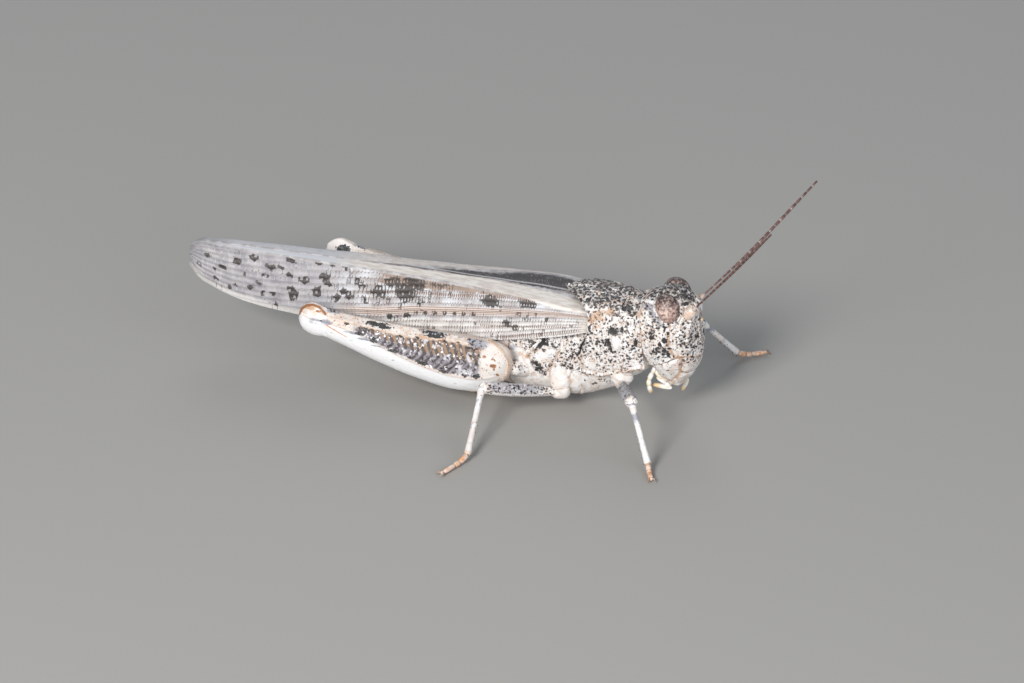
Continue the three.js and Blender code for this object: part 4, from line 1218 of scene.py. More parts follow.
class GRASSHOPPER_OT_mouthparts(bpy.types.Operator):
    """Adds the lip plate with its shield, the two jaws and the four jaw feelers"""

    bl_idname = "grasshopper.mouthparts"
    bl_label = "Mouthparts"

    def execute(self, context):
        plate_finish = speckled_finish("mouth plates", 0.05, tinge=0.75)
        self.add_shield(plate_finish)
        self.add_jaws(plate_finish)
        self.add_palps()
        return {"FINISHED"}

    def front_plate(self, name, low, high, half_low, half_high, lift_low, lift_high, rise):
        """A plate across the face; its sides are lifted above its middle."""

        def spot(across, along):
            aside = (2 * across - 1) ** 2
            z = lerp(low, high, along) + lerp(lift_low, lift_high, along) * aside
            y = (2 * across - 1) * lerp(half_low, half_high, np.clip(along, 0, 1) ** 0.7)
            slant = np.column_stack((np.ones_like(y), 0.8 * y, np.full_like(z, -0.15)))
            slant /= np.linalg.norm(slant, axis=1)[:, None]
            return np.column_stack((head_front_x(y, z) - 0.12, y, z)), slant * rise

        plate = panel_on_head(name, 64, 48, spot)
        emboss(plate, lambda points: 0.015 * grain(points, 0.25, 5))
        thicken(plate, 0.24, lambda points: (1, 0, 0))
        _, y, z = points_of(plate).T
        aside = (y / half_high) ** 2
        share = np.clip((z - low - lift_low * aside) / (high - low + (lift_high - lift_low) * aside), 0, 1)
        side = np.clip(np.abs(y) / lerp(half_low, half_high, share**0.7), 0, 1)
        return plate, side, share

    def add_shield(self, finish):
        """The shield below the face, and the lip plate hanging from it."""
        shield, side, share = self.front_plate("shield", 3.42, 4.62, 1.18, 1.44, 0.4, 0.42, 0.15)
        edge = highest(ease(side, 0.94, 1), 0.8 * ease(-share, -0.08, 0))
        paint(
            shield, dark=0.22 * ease(share, 0.35, 0.85) - 0.09, tan=0.75 * edge,
            slate=0.4 * ease(share, 0.5, 0.9), chalk=0.3 * (1 - edge), spots=0,
        )
        lip, side, share = self.front_plate("lip", 2.2, 3.42, 0.95, 1.36, 0.55, 0.45, 0.22)
        edge = highest(ease(side, 0.93, 1), ease(share, 0.94, 1))
        paint(lip, dark=-0.2, tan=0.2 + 0.4 * edge, slate=0.3 * ease(-side, -0.3, 0), chalk=0, spots=0)
        settle(joined("shield_and_lip", [shield, lip]), finish, "mouth_cuticle", "labrum")

    def add_jaws(self, finish):
        """The outer faces of the jaws, beside the lip."""
        for name, side in SIDES.items():
            def spot(across, along):
                z_low = lerp(3.2, 2.8, across)
                z_high = follow(lerp(6.5, 7.9, across), CHEEK_RIM) + 0.02
                z = lerp(z_low, z_high, along)
                front = follow(z, JAW_FRONT) + 0.1
                rear = np.interp(z, (2.95, 4.2), (6.75, 6.2))
                x = lerp(rear, front, across)
                y = head_side_y(x, z) - 0.12
                outward = np.column_stack((0.2 * np.ones_like(x), side * np.ones_like(x), np.zeros_like(x)))
                return np.column_stack((x, side * y, z)), outward * 0.17

            jaw = panel_on_head(f"jaw_{name}", 48, 50, spot)
            emboss(jaw, lambda points: 0.015 * grain(points, 0.3, 11))
            thicken(jaw, 0.22, lambda points: (0, side, 0))
            x, y, z = points_of(jaw).T
            low = ease(-z, -3.5, -3.15)
            front = ease(x - follow(z, JAW_FRONT), -0.1, 0)
            dots = patches(
                x, z, ((7.35, 4.1, 0.09, 0.05, 0.9), (7, 3.6, 0.08, 0.05, 0.9), (7.5, 3.7, 0.06, 0.08, 0.7))
            )
            paint(
                jaw, dark=-0.06 - 0.1 * low, tan=highest(0.5 * low, 0.8 * front), slate=0,
                chalk=0.25 * (1 - front), spots=dots,
            )
            settle(jaw, finish, "mouth_cuticle", f"mandible_{name}")

    def add_palps(self):
        """Jaw feelers of short rounded joints, with the pale lobes at their roots."""
        finish = mouth_finish("jaw feeler")
        joint = subdivided(turned("palp_joint", ROOT_RINGS, sides=12), 1)
        tips = {"maxillary_palp": (0, 0.22, 0.45, 0.7, 1), "labial_palp": (0, 0.24, 0.5, 1)}
        for feeler, route in PALP_ROUTES.items():
            kind, name = feeler.rsplit("_", 1)
            way = Stations(share=(0, 0.45, 1), **dict(zip("xyz", zip(*route))))
            knots = [Vector([float(way.at(axis, share)) for axis in "xyz"]) for share in tips[kind]]
            bars = [(here - (there - here) * 0.12, there, 0.17) for here, there in zip(knots, knots[1:])]
            flip = Matrix.Diagonal((1, SIDES[name], 1, 1))
            pieces = []
            for start, end, width in (*bars, *PALP_LOBES[kind]):
                piece = copy_of(joint, "palp_part", flip @ aimed(start, end, width))
                tip = 0.9 if end is knots[-1] else 0.15
                paint(piece, honey=tip * ease(joint_height(joint), 0.35, 0.8))
                pieces.append(piece)
            settle(joined(f"{kind}_joints_{name}", pieces), finish, "mouth_cuticle", feeler)
        discard(joint)


# ---------------------------------------------------------------- trunk


class PronotumForm:
    """The saddle: rounded-square sections between its rear and front margins, down to the lobes' foot."""

    steps = 400

    def __init__(self):
        turn = np.linspace(math.pi / 2, -math.pi / 3, self.steps)
        across, up = bent(np.cos(turn), 2.8), bent(np.sin(turn), 2.8)
        run = np.concatenate(([0], np.cumsum(np.hypot(np.diff(across) * 2.2, np.diff(up) * 3.3))))
        self.turn, self.run = turn, run

    def margins(self, y, z):
        """Rear and front margins at a height z and half width y."""
        disc = DISC_APEX + (SHOULDER[0] - DISC_APEX) * (y / SHOULDER[1]) ** 1.15
        lobe = follow(z, LOBE_REAR)
        rear = lerp(lobe, np.minimum(disc, SHOULDER[0]), ease(z, 6.1, 6.7))
        front = follow(z, COLLAR)
        return rear, front

    def __call__(self, across, along):
        side = np.where(across < 0.5, -1, 1)
        t = np.abs(2 * across - 1)
        x = lerp(1.5, 5.7, along)
        for _ in range(6):
            half, top, bottom, square = PRONOTUM.several(x, "half_width", "top", "bottom", "squareness")
            middle, rise = (top + bottom) / 2, (top - bottom) / 2
            foot = follow(x, LOBE_FOOT)
            low_turn = -np.arcsin(np.clip(np.abs(foot - middle) / rise, 0, 1) ** (square / 2))
            turn = np.interp(t * np.interp(-low_turn, -self.turn, self.run), self.run, self.turn)
            y = half * bent(np.cos(turn), square)
            z = middle + rise * bent(np.sin(turn), square)
            rear, front = self.margins(y, z)
            x = lerp(rear, front, along)
        return np.column_stack((x, side * y, z))


def pronotum_relief(points):
    x, y, z = points.T
    away = np.abs(y)
    top = ease(z, 7.2, 7.7)
    side = 1 - ease(z, 6.9, 7.4)
    keel = 0.12 * bump_at(away, 0, 0.07) * (1 - 0.95 * bump_at(x, 4.42, 0.08))
    keel *= 1 - 0.8 * bump_at(x, 5.15, 0.06)
    height = keel * top
    shoulder_keel = 1.42 + 0.12 * np.sin(x * 1.3)
    height += 0.08 * bump_at(away, shoulder_keel, 0.1) * top * ease(-x, -4.6, -4.2)
    height -= 0.075 * bump_at(x, 4.42 + 0.04 * np.sin(away * 3), 0.06) * ease(z, 4.9, 5.4)
    height -= 0.06 * bump_at(x, 5.17, 0.05) * ease(z, 5.5, 5.9)
    height -= 0.045 * bump_at(x, 3.62, 0.06) * side * ease(z, 5.4, 5.8) * ease(-z, -7.2, -6.8)
    front = follow(z, COLLAR) - x
    height += 0.055 * bump_at(front, 0.14, 0.12) - 0.04 * bump_at(front, 0.38, 0.08)
    foot = z - follow(x, LOBE_FOOT)
    height += 0.05 * bump_at(foot, 0.1, 0.1) * side - 0.03 * bump_at(foot, 0.32, 0.1) * side
    rear = x - follow(z, LOBE_REAR)
    height += 0.045 * bump_at(rear, 0.08, 0.1) * side
    across, up = seen(points, FLANK_PLANE)
    height += 0.1 * patches(across, up, ((4.19, 5.63, 0.3, 0.42, 1),)) * side
    height -= 0.07 * patches(
        across, up, ((4.12, 6.49, 0.45, 0.3, 1), (3.7, 5.6, 0.2, 0.3, 0.8), (4.94, 8.2, 0.4, 0.3, 0.8))
    )
    height += 0.03 * grain(points, 0.5, 1) + 0.024 * grain(points, 0.22, 4) * (0.5 + top)
    return height


# Marks on the right side of the saddle, as seen: place, reaches and strength.
PRONOTUM_SPOTS = (
    (4, 6.5, 0.4, 0.24, 0.72), (4.46, 6.62, 0.16, 0.14, 0.62), (3.74, 6.3, 0.18, 0.16, 0.6),
    (3.74, 5.75, 0.09, 0.4, 0.62), (3.6, 5.6, 0.18, 0.14, 0.66), (3.88, 5.1, 0.1, 0.2, 0.9),
    (4.94, 8.23, 0.34, 0.24, 0.8), (5.39, 5.9, 0.1, 0.26, 0.9), (4.6, 6.65, 0.09, 0.4, 0.6),
    (2.49, 6.45, 0.07, 0.17, 0.9), (1.87, 7.85, 0.12, 0.14, 1), (5.18, 6.3, 0.1, 0.1, 0.8),
    (4.98, 6.55, 0.1, 0.1, 0.8), (2.98, 4.72, 0.1, 0.1, 0.8), (2.26, 4.5, 0.1, 0.08, 0.7),
    (3.9, 4.37, 0.12, 0.06, 0.8), (5.04, 4.74, 0.1, 0.08, 0.7), (3.45, 5.5, 0.08, 0.08, 0.8),
    (3, 5.75, 0.1, 0.1, 0.7), (3.15, 5.4, 0.07, 0.07, 0.7), (2.35, 3.7, 0.16, 0.08, 0.8),
)
PRONOTUM_SOOTY = (
    (4.12, 6.49, 0.5, 0.33, 0.85), (3.7, 5.6, 0.24, 0.34, 0.65), (3.87, 5.25, 0.15, 0.3, 0.5),
    (4.94, 8.23, 0.42, 0.32, 1.1), (5.35, 8.1, 0.2, 0.22, 0.7), (2.13, 5.3, 0.24, 0.45, 0.7),
    (5.39, 5.9, 0.16, 0.32, 0.7), (3.99, 7.67, 0.3, 0.17, 0.8), (2.49, 6.45, 0.1, 0.2, 0.9),
    (1.87, 7.85, 0.13, 0.17, 0.8), (3.04, 5.64, 0.13, 0.12, 0.8), (2.55, 5.69, 0.12, 0.15, 0.8),
    (5.22, 5.5, 0.13, 0.13, 0.8), (4.84, 6.55, 0.16, 0.16, 0.6), (4.95, 7.2, 0.35, 0.3, 0.32),
    (3.2, 8.3, 0.9, 0.25, 0.4), (2.26, 4.5, 0.11, 0.1, 0.7), (2.98, 4.72, 0.1, 0.1, 0.7),
    (2.81, 3.6, 0.1, 0.1, 0.6), (3.9, 4.37, 0.1, 0.1, 0.7), (4.5, 4.88, 0.1, 0.1, 0.7),
    (5.04, 4.74, 0.12, 0.1, 0.6), (3.42, 3.85, 0.1, 0.1, 0.6), (4.6, 5.9, 0.3, 0.5, 0.2),
    (3.1, 5.6, 0.7, 0.6, 0.2), (2.6, 4.9, 0.6, 0.4, 0.2),
)
PRONOTUM_WARM = (
    (3.02, 7.5, 0.62, 0.52, 0.85), (3.86, 7.8, 0.36, 0.34, 0.85), (2.6, 7.1, 0.3, 0.5, 0.7),
    (5.55, 8, 0.16, 0.5, 0.6), (5.74, 7.1, 0.12, 0.4, 0.6), (5.8, 5.3, 0.1, 0.16, 0.8),
    (5.65, 6.78, 0.1, 0.14, 0.7), (5.76, 6.1, 0.1, 0.14, 0.6), (2.9, 6.6, 0.5, 0.4, 0.45),
    (4.6, 7.2, 0.2, 0.3, 0.5),
)
PRONOTUM_CLEAR = (
    (4.19, 5.63, 0.3, 0.42, 1), (2.5, 3.9, 0.4, 0.24, 0.8), (5.47, 4.32, 0.4, 0.18, 0.9),
    (4.28, 8.4, 0.28, 0.16, 0.8), (5.54, 8.86, 0.34, 0.28, 0.9), (3.4, 6.5, 0.2, 0.4, 0.5),
)


def paint_pronotum(piece):
    points = points_of(piece)
    x, y, z = points.T
    across, up = seen(points, FLANK_PLANE)
    away = np.abs(y)
    disc = ease(z, 7.45, 7.8)
    side = 1 - disc
    clear = patches(across, up, PRONOTUM_CLEAR) * ease(-disc, -1.2, -0.2)
    streaks = 0.5 + 0.35 * np.sin(x * 3.1 + np.sin(away * 5)) * np.cos(away * 4.5 + 0.6)
    dark = highest(
        patches(across, up, PRONOTUM_SOOTY) * lerp(1, 0.75, disc),
        disc * lerp(0.26, 0.68, streaks),
        0.05 + 0.09 * ease(z, 3.9, 5),
    )
    front = follow(z, COLLAR) - x
    foot = z - follow(x, LOBE_FOOT)
    warm = highest(
        patches(across, up, PRONOTUM_WARM) * lerp(0.6, 1, side),
        0.35 * bump_at(front, 0.1, 0.12),
        0.7 * bump_at(foot, 0.04, 0.07) * side,
        0.5 * disc * ease(streaks, 0.75, 0.3) * ease(away, 0.2, 0.4),
        0.14 + 0.18 * ease(-z, -5.2, -4.4),
    )
    dark = dark * (1 - 0.9 * clear) * (1 - 0.4 * ease(warm, 0.35, 0.7)) - 0.2 * clear
    spots = patches(*seen_rough(points, FLANK_PLANE, 0.14), PRONOTUM_SPOTS) * (1 - 0.8 * disc)
    paint(
        piece, dark=dark, tan=warm * (1 - clear), slate=0.2 * disc * streaks,
        chalk=highest(clear, 0.18 + 0.1 * disc), spots=spots,
    )


def barrel(back, front, cap=0.05, grow=0):
    """A length of the trunk with flat ends."""

    def form(along, around):
        x = lerp(back, front, np.clip((along - cap) / (1 - 2 * cap), 0, 1))
        shrink = np.clip(np.minimum(along, 1 - along) / cap, 0, 1)
        half, top, bottom = TRUNK.several(x, "half_width", "top", "bottom")
        across, up = bent(np.cos(around), TRUNK_SQUARENESS), bent(np.sin(around), TRUNK_SQUARENESS)
        return np.column_stack((
            x,
            (half + grow) * across * shrink,
            (top + bottom) / 2 + ((top - bottom) / 2 + grow) * up * shrink,
        ))

    return form


FLANK_SEAMS = (
    ((2.3, 5.7), (2, 5.2), (1.9, 4.4), (1.35, 3), (1.1, 2.5)),
    ((0.75, 5.6), (0.77, 5.1), (0.6, 4.5), (0.4, 4), (0.02, 3.5), (-0.3, 2.6)),
    ((-0.3, 5.6), (-0.42, 5), (-0.75, 4.6), (-1.05, 4.2), (-1.4, 3.7), (-1, 2.6)),
    ((-1.9, 5), (-1.85, 4.1), (-1.75, 3.3)),
)
# Folds round the middle hip and the plate before it, as seen.
BREAST_FOLDS = (
    ((1.33, 3.3), (1.82, 2.75), (2.2, 2.1), (2, 1.75), (1.55, 1.55)),
    ((0.02, 2.75), (0.05, 3.25), (0.27, 3.8), (0.4, 3.45)),
    ((1, 3.3), (1.35, 2.6), (1.3, 2)),
)


def thorax_relief(points):
    x, y, _ = points.T
    across, up = seen(points, FLANK_PLANE)
    on_side = ease(np.abs(y), 1, 1.5)
    height = np.zeros_like(x)
    for seam in FLANK_SEAMS:
        height -= 0.1 * ridge(across, up, seam, 0.065) * on_side
        height += 0.07 * ridge(across + 0.16, up, seam, 0.1) * on_side
    for fold in BREAST_FOLDS:
        height += 0.07 * ridge(across, up, fold, 0.08) - 0.06 * ridge(across + 0.12, up, fold, 0.06)
    height += 0.1 * patches(
        across, up,
        (
            (1.35, 4.7, 0.5, 0.9, 1), (0.1, 4.6, 0.5, 0.8, 0.8), (-0.9, 3.6, 0.45, 0.7, 0.7),
            (1.65, 2.3, 0.4, 0.6, 0.8),
        ),
    )
    height += 0.03 * grain(points, 0.45, 2) + 0.02 * grain(points, 0.2, 6)
    return height


# Marks on the flank, as seen: place, reaches and strength.
THORAX_SPOTS = (
    (-0.42, 5.05, 0.17, 0.4, 1.2), (-0.6, 4.75, 0.14, 0.2, 1), (-0.2, 4.95, 0.16, 0.16, 0.7),
    (-1.3, 4.46, 0.14, 0.09, 1), (-0.92, 4.84, 0.11, 0.07, 0.9), (-1.7, 4.62, 0.09, 0.07, 0.8),
    (-0.62, 3.15, 0.22, 0.1, 0.9), (-0.85, 2.95, 0.12, 0.14, 0.8), (-0.42, 2.8, 0.08, 0.08, 0.8),
    (0.8, 3.55, 0.22, 0.12, 0.9), (1.3, 3.45, 0.2, 0.1, 0.7), (1.7, 3.4, 0.2, 0.12, 0.8),
    (1.2, 4.2, 0.1, 0.09, 0.9), (1.25, 3.85, 0.09, 0.09, 0.8), (1.6, 4.6, 0.08, 0.08, 0.8),
    (2.23, 2.76, 0.09, 0.12, 0.9), (1.27, 1.86, 0.09, 0.1, 0.8), (-2.16, 2.72, 0.14, 0.12, 0.5),
    (0.15, 4.95, 0.2, 0.12, 0.6), (0.4, 4.7, 0.1, 0.1, 0.7),
)
THORAX_SOOTY = (
    (0.1, 5, 0.5, 0.4, 0.42), (-0.95, 3.3, 0.4, 0.35, 0.5), (-0.51, 2.8, 0.3, 0.25, 0.45),
    (1.46, 4.7, 0.6, 1, 0.26), (1.1, 3.6, 0.5, 0.2, 0.4), (1, 5.5, 0.7, 0.25, 0.3),
    (-1.3, 4.7, 0.5, 0.4, 0.3), (-0.2, 3.9, 0.2, 0.3, 0.3),
)
THORAX_WARM = (
    (-1.4, 3.85, 0.2, 0.22, 1), (-1.83, 3.85, 0.3, 0.25, 0.7), (0.2, 3.6, 0.2, 0.3, 0.5),
    (-1, 4.25, 0.1, 0.16, 0.9),
)
THORAX_CLEAR = (
    (-0.35, 4.08, 0.5, 0.2, 1), (0.05, 4.4, 0.28, 0.14, 0.9), (-0.72, 3.68, 0.25, 0.16, 0.9),
    (0.75, 4.95, 0.07, 0.5, 0.8), (1.35, 3.15, 0.3, 0.16, 0.8),
)
# Below this line of x and z the flank is bare cream skin.
PEPPER_FOOT = (
    (-2.7, 4.5), (-2, 4.3), (-1.5, 4.15), (-1.25, 3.4), (-0.75, 2.75), (-0.3, 2.5), (0.1, 3.2), (0.5, 3.5),
    (1.5, 3.15), (2.45, 3),
)


def paint_thorax(piece):
    points = points_of(piece)
    across, up = seen(points, FLANK_PLANE)
    cream = ease(follow(across, PEPPER_FOOT) - up, -0.06, 0.12)
    clear = patches(across, up, THORAX_CLEAR)
    seams = highest(*[ridge(across, up, seam, 0.06) for seam in FLANK_SEAMS])
    folds = highest(*[ridge(across, up, fold, 0.055) for fold in BREAST_FOLDS])
    ragged = seen_rough(points, FLANK_PLANE, 0.05)
    black = highest(
        ridge(*ragged, FLANK_SEAMS[0], 0.07) * ease(up, 3.4, 4.2),
        0.9 * ridge(*ragged, FLANK_SEAMS[2], 0.06) * ease(up, 4, 4.5),
    )
    dark = highest(patches(across, up, THORAX_SOOTY), 0.1) * (1 - cream)
    dark = dark * (1 - 0.9 * clear) - 0.25 * highest(clear, cream)
    warm = highest(
        patches(across, up, THORAX_WARM), seams * 0.5 * (1 - clear), 0.85 * folds, 0.2 * cream,
    )
    cloud = patches(
        across, up,
        (
            (-2.4, 4.35, 0.4, 0.3, 0.8), (-0.8, 3.2, 0.4, 0.3, 0.6), (0.1, 4.95, 0.5, 0.3, 0.5),
            (-2.16, 2.7, 0.3, 0.25, 0.8), (1.1, 3.5, 0.5, 0.2, 0.5),
        ),
    )
    spots = highest(patches(*seen_rough(points, FLANK_PLANE), THORAX_SPOTS), black)
    paint(piece, dark=dark, tan=warm, slate=cloud, chalk=highest(clear, 0.35 * cream), spots=spots)


class GRASSHOPPER_OT_pronotum(bpy.types.Operator):
    """Adds the saddle behind the head, with its keels, furrows and side lobes"""

    bl_idname = "grasshopper.pronotum"
    bl_label = "Pronotum"

    def execute(self, context):
        saddle = panel("saddle", 230, 96, PronotumForm())
        face_away(saddle)
        emboss(saddle, pronotum_relief)
        thicken(saddle, 0.14, lambda points: points - (3.2, 0, 5))
        paint_pronotum(saddle)
        settle(saddle, speckled_finish("saddle cuticle", 0.08), "speckled_cuticle", "pronotum")
        return {"FINISHED"}


class GRASSHOPPER_OT_thorax(bpy.types.Operator):
    """Adds the neck part and the winged thorax with its flank plates"""

    bl_idname = "grasshopper.thorax"
    bl_label = "Thorax"

    def execute(self, context):
        neck = skin("neck_plates", 96, 70, barrel(WAIST - 0.35, 6.1, grow=-0.02))
        emboss(neck, lambda points: 0.03 * grain(points, 0.4, 8) - 0.05 * bump_at(points[:, 0], 4.9, 0.12))
        points = points_of(neck)
        streaks = patches(
            *seen(points, HEAD_PLANE),
            ((2.75, 2.5, 0.16, 0.14, 0.5), (3.2, 2.75, 0.3, 0.08, 0.4), (3.6, 2.7, 0.2, 0.08, 0.4)),
        )
        paint(neck, dark=0.02 + streaks, tan=0.4 * bump_at(points[:, 0], 4.9, 0.2), slate=0.8 * streaks)
        settle(neck, pale_finish("neck cuticle"), "pale_cuticle", "prothorax")
        flank = skin("winged_thorax", 170, 110, barrel(ABDOMEN_CUTS[0], WAIST))
        emboss(flank, thorax_relief)
        paint_thorax(flank)
        settle(flank, speckled_finish("flank cuticle", 0.06), "speckled_cuticle", "pterothorax")
        return {"FINISHED"}


RING_PITCH = 1.36  # length of one abdominal ring


def abdomen_relief(points):
    x, y, z = points.T
    place = ((ABDOMEN_CUTS[0] - x) / RING_PITCH) % 1
    height = 0.085 * place**1.5 - 0.05 * bump_at(place, 0.02, 0.03)
    middle = (TRUNK.at("top", x) + TRUNK.at("bottom", x)) / 2
    fold_line = middle - 0.32 * (TRUNK.at("top", x) - TRUNK.at("bottom", x))
    height -= 0.08 * bump_at(z, fold_line, 0.12) * ease(np.abs(y), 0.3, 0.8)
    height += 0.012 * grain(points, 0.3, 9)
    return height * ease(x, -13.8, -13)


class GRASSHOPPER_OT_abdomen(bpy.types.Operator):
    """Adds the ringed abdomen with its tail feelers and egg-laying prongs"""

    bl_idname = "grasshopper.abdomen"
    bl_label = "Abdomen"

    def execute(self, context):
        finish = abdomen_finish("abdomen cuticle")
        for number, (front, back) in enumerate(zip(ABDOMEN_CUTS, ABDOMEN_CUTS[1:]), start=1):
            ring = skin(f"abdomen_rings_{number}", 112, 44, barrel(back - 0.01, front + 0.01, cap=0.02))
            emboss(ring, abdomen_relief)
            self.paint_rings(ring)
            pieces = [ring]
            if back == ABDOMEN_CUTS[-1]:
                pieces += self.tail_parts()
            settle(joined(ring.name, pieces), finish, "abdomen_cuticle", f"abdomen_{number}")
        return {"FINISHED"}

    def paint_rings(self, ring):
        x, _, z = points_of(ring).T
        place = ((ABDOMEN_CUTS[0] - x) / RING_PITCH) % 1
        height = (z - TRUNK.at("bottom", x)) / highest(TRUNK.at("top", x) - TRUNK.at("bottom", x), 0.1)
        paint(ring, margin=ease(place, 0.8, 0.98), side=ease(height, 0.35, 0.75))

    def tail_parts(self):
        """Two short tail feelers and four hooked prongs."""
        cone = subdivided(turned("tail_cone", ((0, 0.8), (0.2, 1), (0.7, 0.6), (1, 0.1)), sides=10), 1)
        parts = []
        for side in SIDES.values():
            parts.append(
                copy_of(cone, "cercus", aimed((-13.3, side * 0.45, 5.35), (-14.15, side * 0.62, 5.5), 0.11))
            )
            for height, drop in ((5.15, 0.22), (4.75, -0.2)):
                start, end = (-13.6, side * 0.16, height), (-14.6, side * 0.1, height + drop)
                parts.append(copy_of(cone, "prong", aimed(start, end, 0.16)))
        for part in parts:
            paint(part, margin=0.35, side=0.1)
        discard(cone)
        return parts


# ---------------------------------------------------------------- wings


def wing_section(x, c, lap, shift):
    """A point of the folded wing: c runs over the flat top (0 to 1) and down the side (1 to 2)."""
    measures = TEGMEN.several(x, "crest", "ridge_y", "ridge_z", "edge_y", "edge_z")
    crest, ridge_y, ridge_z, edge_y, edge_z = measures
    down = np.clip(c - 1, 0, 1)
    top = np.clip(c, 0, 1)
    bulge = 0.13 * np.sin(math.pi * down) * ease(x, -24, -21)
    y = np.where(c < 1, lerp(lap, ridge_y, top), lerp(ridge_y, edge_y, down) + bulge)
    z = np.where(c < 1, lerp(crest, ridge_z, top**2), lerp(ridge_z, edge_z, down))
    return y - shift * (0.3 + 0.7 * down), z - shift * (1 - 0.9 * down)


def wing_form(side, tip, root, lap, shift=0, top_share=0.34):
    """Places on one folded wing; the corner at the ridge is rounded by averaging along the section."""
    taps = 7

    def form(across, along):
        c = np.where(across < top_share, across / top_share, 1 + (across - top_share) / (1 - top_share))
        x = lerp(tip, root, along)
        x = x + 0.35 * ease(-x, 22.5, 24) * (np.clip(c - 1.35, -1, 1) ** 2)
        window = 0.11 * ease(c, 0, 0.3) * ease(2 - c, 0, 0.2)
        y = z = 0
        for tap in range(taps):
            place = c + window * (2 * tap / (taps - 1) - 1)
            tap_y, tap_z = wing_section(x, place, lap, shift)
            y, z = y + tap_y / taps, z + tap_z / taps
        return np.column_stack((x, side * y, z, c))

    return form


CELL_ROWS = 9  # rows of cells down the side of a forewing
CELL_PERIOD = Stations(x=(-24, -18, -13, -9, 2.7), period=(0.42, 0.4, 0.27, 0.2, 0.18))
BAND_TOP = {
    -1: Stations(x=(-24, -20, -14, -9, -5, -2, 0.5, 2.7), c=(0.3, 0.3, 0.25, 0.12, 0.22, 0.36, 0.48, 0.62)),
    1: Stations(x=(-24, -9, -8, -5.6, -2.5, -0.1, 2.7), c=(0.3, 0.3, 0.44, 0.55, 0.8, 0.84, 0.9)),
}
BAND_FOOT = Stations(
    x=(-24, -20, -14, -9, -4.9, -3.2, -1.6, 0.1, 2.7),
    c=(0.98, 0.97, 0.93, 0.9, 0.95, 0.99, 1.01, 1.12, 1.1),
)

# Dark blotches of the side field: place along the wing, share down from the ridge, reaches and strength.
WING_BLOTCHES = (
    (-4, 0.2, 0.62, 0.13, 0.85), (-1.5, 0.12, 0.62, 0.1, 0.85), (-8.9, 0.1, 0.75, 0.14, 0.85),
    (-9.5, 0.3, 0.75, 0.16, 0.8), (-10.3, 0.15, 0.7, 0.12, 0.6), (-11.3, 0.34, 0.7, 0.1, 0.6),
    (-8.5, 0.42, 0.3, 0.1, 0.5), (-7.2, 0.08, 0.8, 0.08, 0.4), (-2.75, 0.62, 0.26, 0.09, 0.75),
    (-2.2, 0.7, 0.3, 0.07, 0.6), (-1.48, 0.5, 0.3, 0.07, 0.5), (-0.32, 0.45, 0.18, 0.06, 0.95),
    (-13.2, 0.5, 0.35, 0.1, 0.65), (-12.5, 0.25, 0.4, 0.1, 0.55), (-12.1, 0.55, 0.3, 0.08, 0.5),
    (-15.21, 0.53, 0.28, 0.12, 0.95), (-16.91, 0.63, 0.3, 0.15, 0.95), (-14.77, 0.26, 0.4, 0.08, 0.85),
    (-14.56, 0.36, 0.3, 0.06, 0.7), (-17.13, 0.33, 0.25, 0.05, 0.9), (-16.18, 0.37, 0.35, 0.06, 0.85),
    (-13.56, 0.44, 0.25, 0.07, 0.85), (-13.94, 0.58, 0.3, 0.07, 0.85), (-10.39, 0.78, 0.2, 0.06, 0.95),
    (-9.29, 0.7, 0.22, 0.065, 0.95), (-17.12, 0.05, 0.35, 0.06, 0.8), (-15.31, 0.02, 0.28, 0.06, 0.8),
    (-14.33, 0.02, 0.22, 0.05, 0.7), (-13.45, 0.03, 0.22, 0.05, 0.6), (-18.47, 0.24, 0.3, 0.05, 0.85),
    (-19.63, 0.13, 0.3, 0.05, 0.85), (-20.74, 0.26, 0.3, 0.06, 0.85), (-21.61, 0.45, 0.25, 0.06, 0.8),
    (-22.74, 0.32, 0.2, 0.08, 0.7), (-23.33, 0.63, 0.15, 0.07, 0.6), (-19.69, 0.7, 0.25, 0.06, 0.85),
    (-22.09, 0.77, 0.18, 0.06, 0.7), (-21.16, 0.84, 0.18, 0.06, 0.7), (-20.74, 0.73, 0.16, 0.05, 0.6),
    (-19.1, 0.57, 0.22, 0.05, 0.6), (-18.87, 0.75, 0.18, 0.05, 0.6), (-18.16, 0.73, 0.22, 0.05, 0.7),
    (-18.81, 0.41, 0.22, 0.05, 0.55), (-22.22, 0.57, 0.15, 0.05, 0.5), (-20.22, 0.48, 0.15, 0.05, 0.5),
    (-17.88, 0.91, 0.16, 0.05, 0.5), (-10.62, 0.19, 0.3, 0.06, 0.7), (-11.11, 0.41, 0.4, 0.06, 0.6),
    (-17.77, 0.21, 0.2, 0.04, 0.6),
)
# The same for the flat top: place along the wing, share from the midline, reaches and strength.
TOP_SOOT = {
    -1: ((-1.2, 0.12, 2.6, 0.16, 1), (-4.4, 0.03, 2.6, 0.08, 0.7)),
    1: (
        (-1, 0.3, 3.6, 0.5, 1), (-5, 0.15, 3.2, 0.26, 1), (-9.5, 0.1, 3, 0.1, 0.75),
        (-13.5, 0.12, 2.5, 0.06, 0.5),
    ),
}
TOP_VEIN = {
    -1: ((-9, 0.5), (-5.15, 0.27), (-0.9, 0.02), (2.7, 0)), 1: ((-12, 0.3), (-5, 0.05), (2.7, 0.02))
}


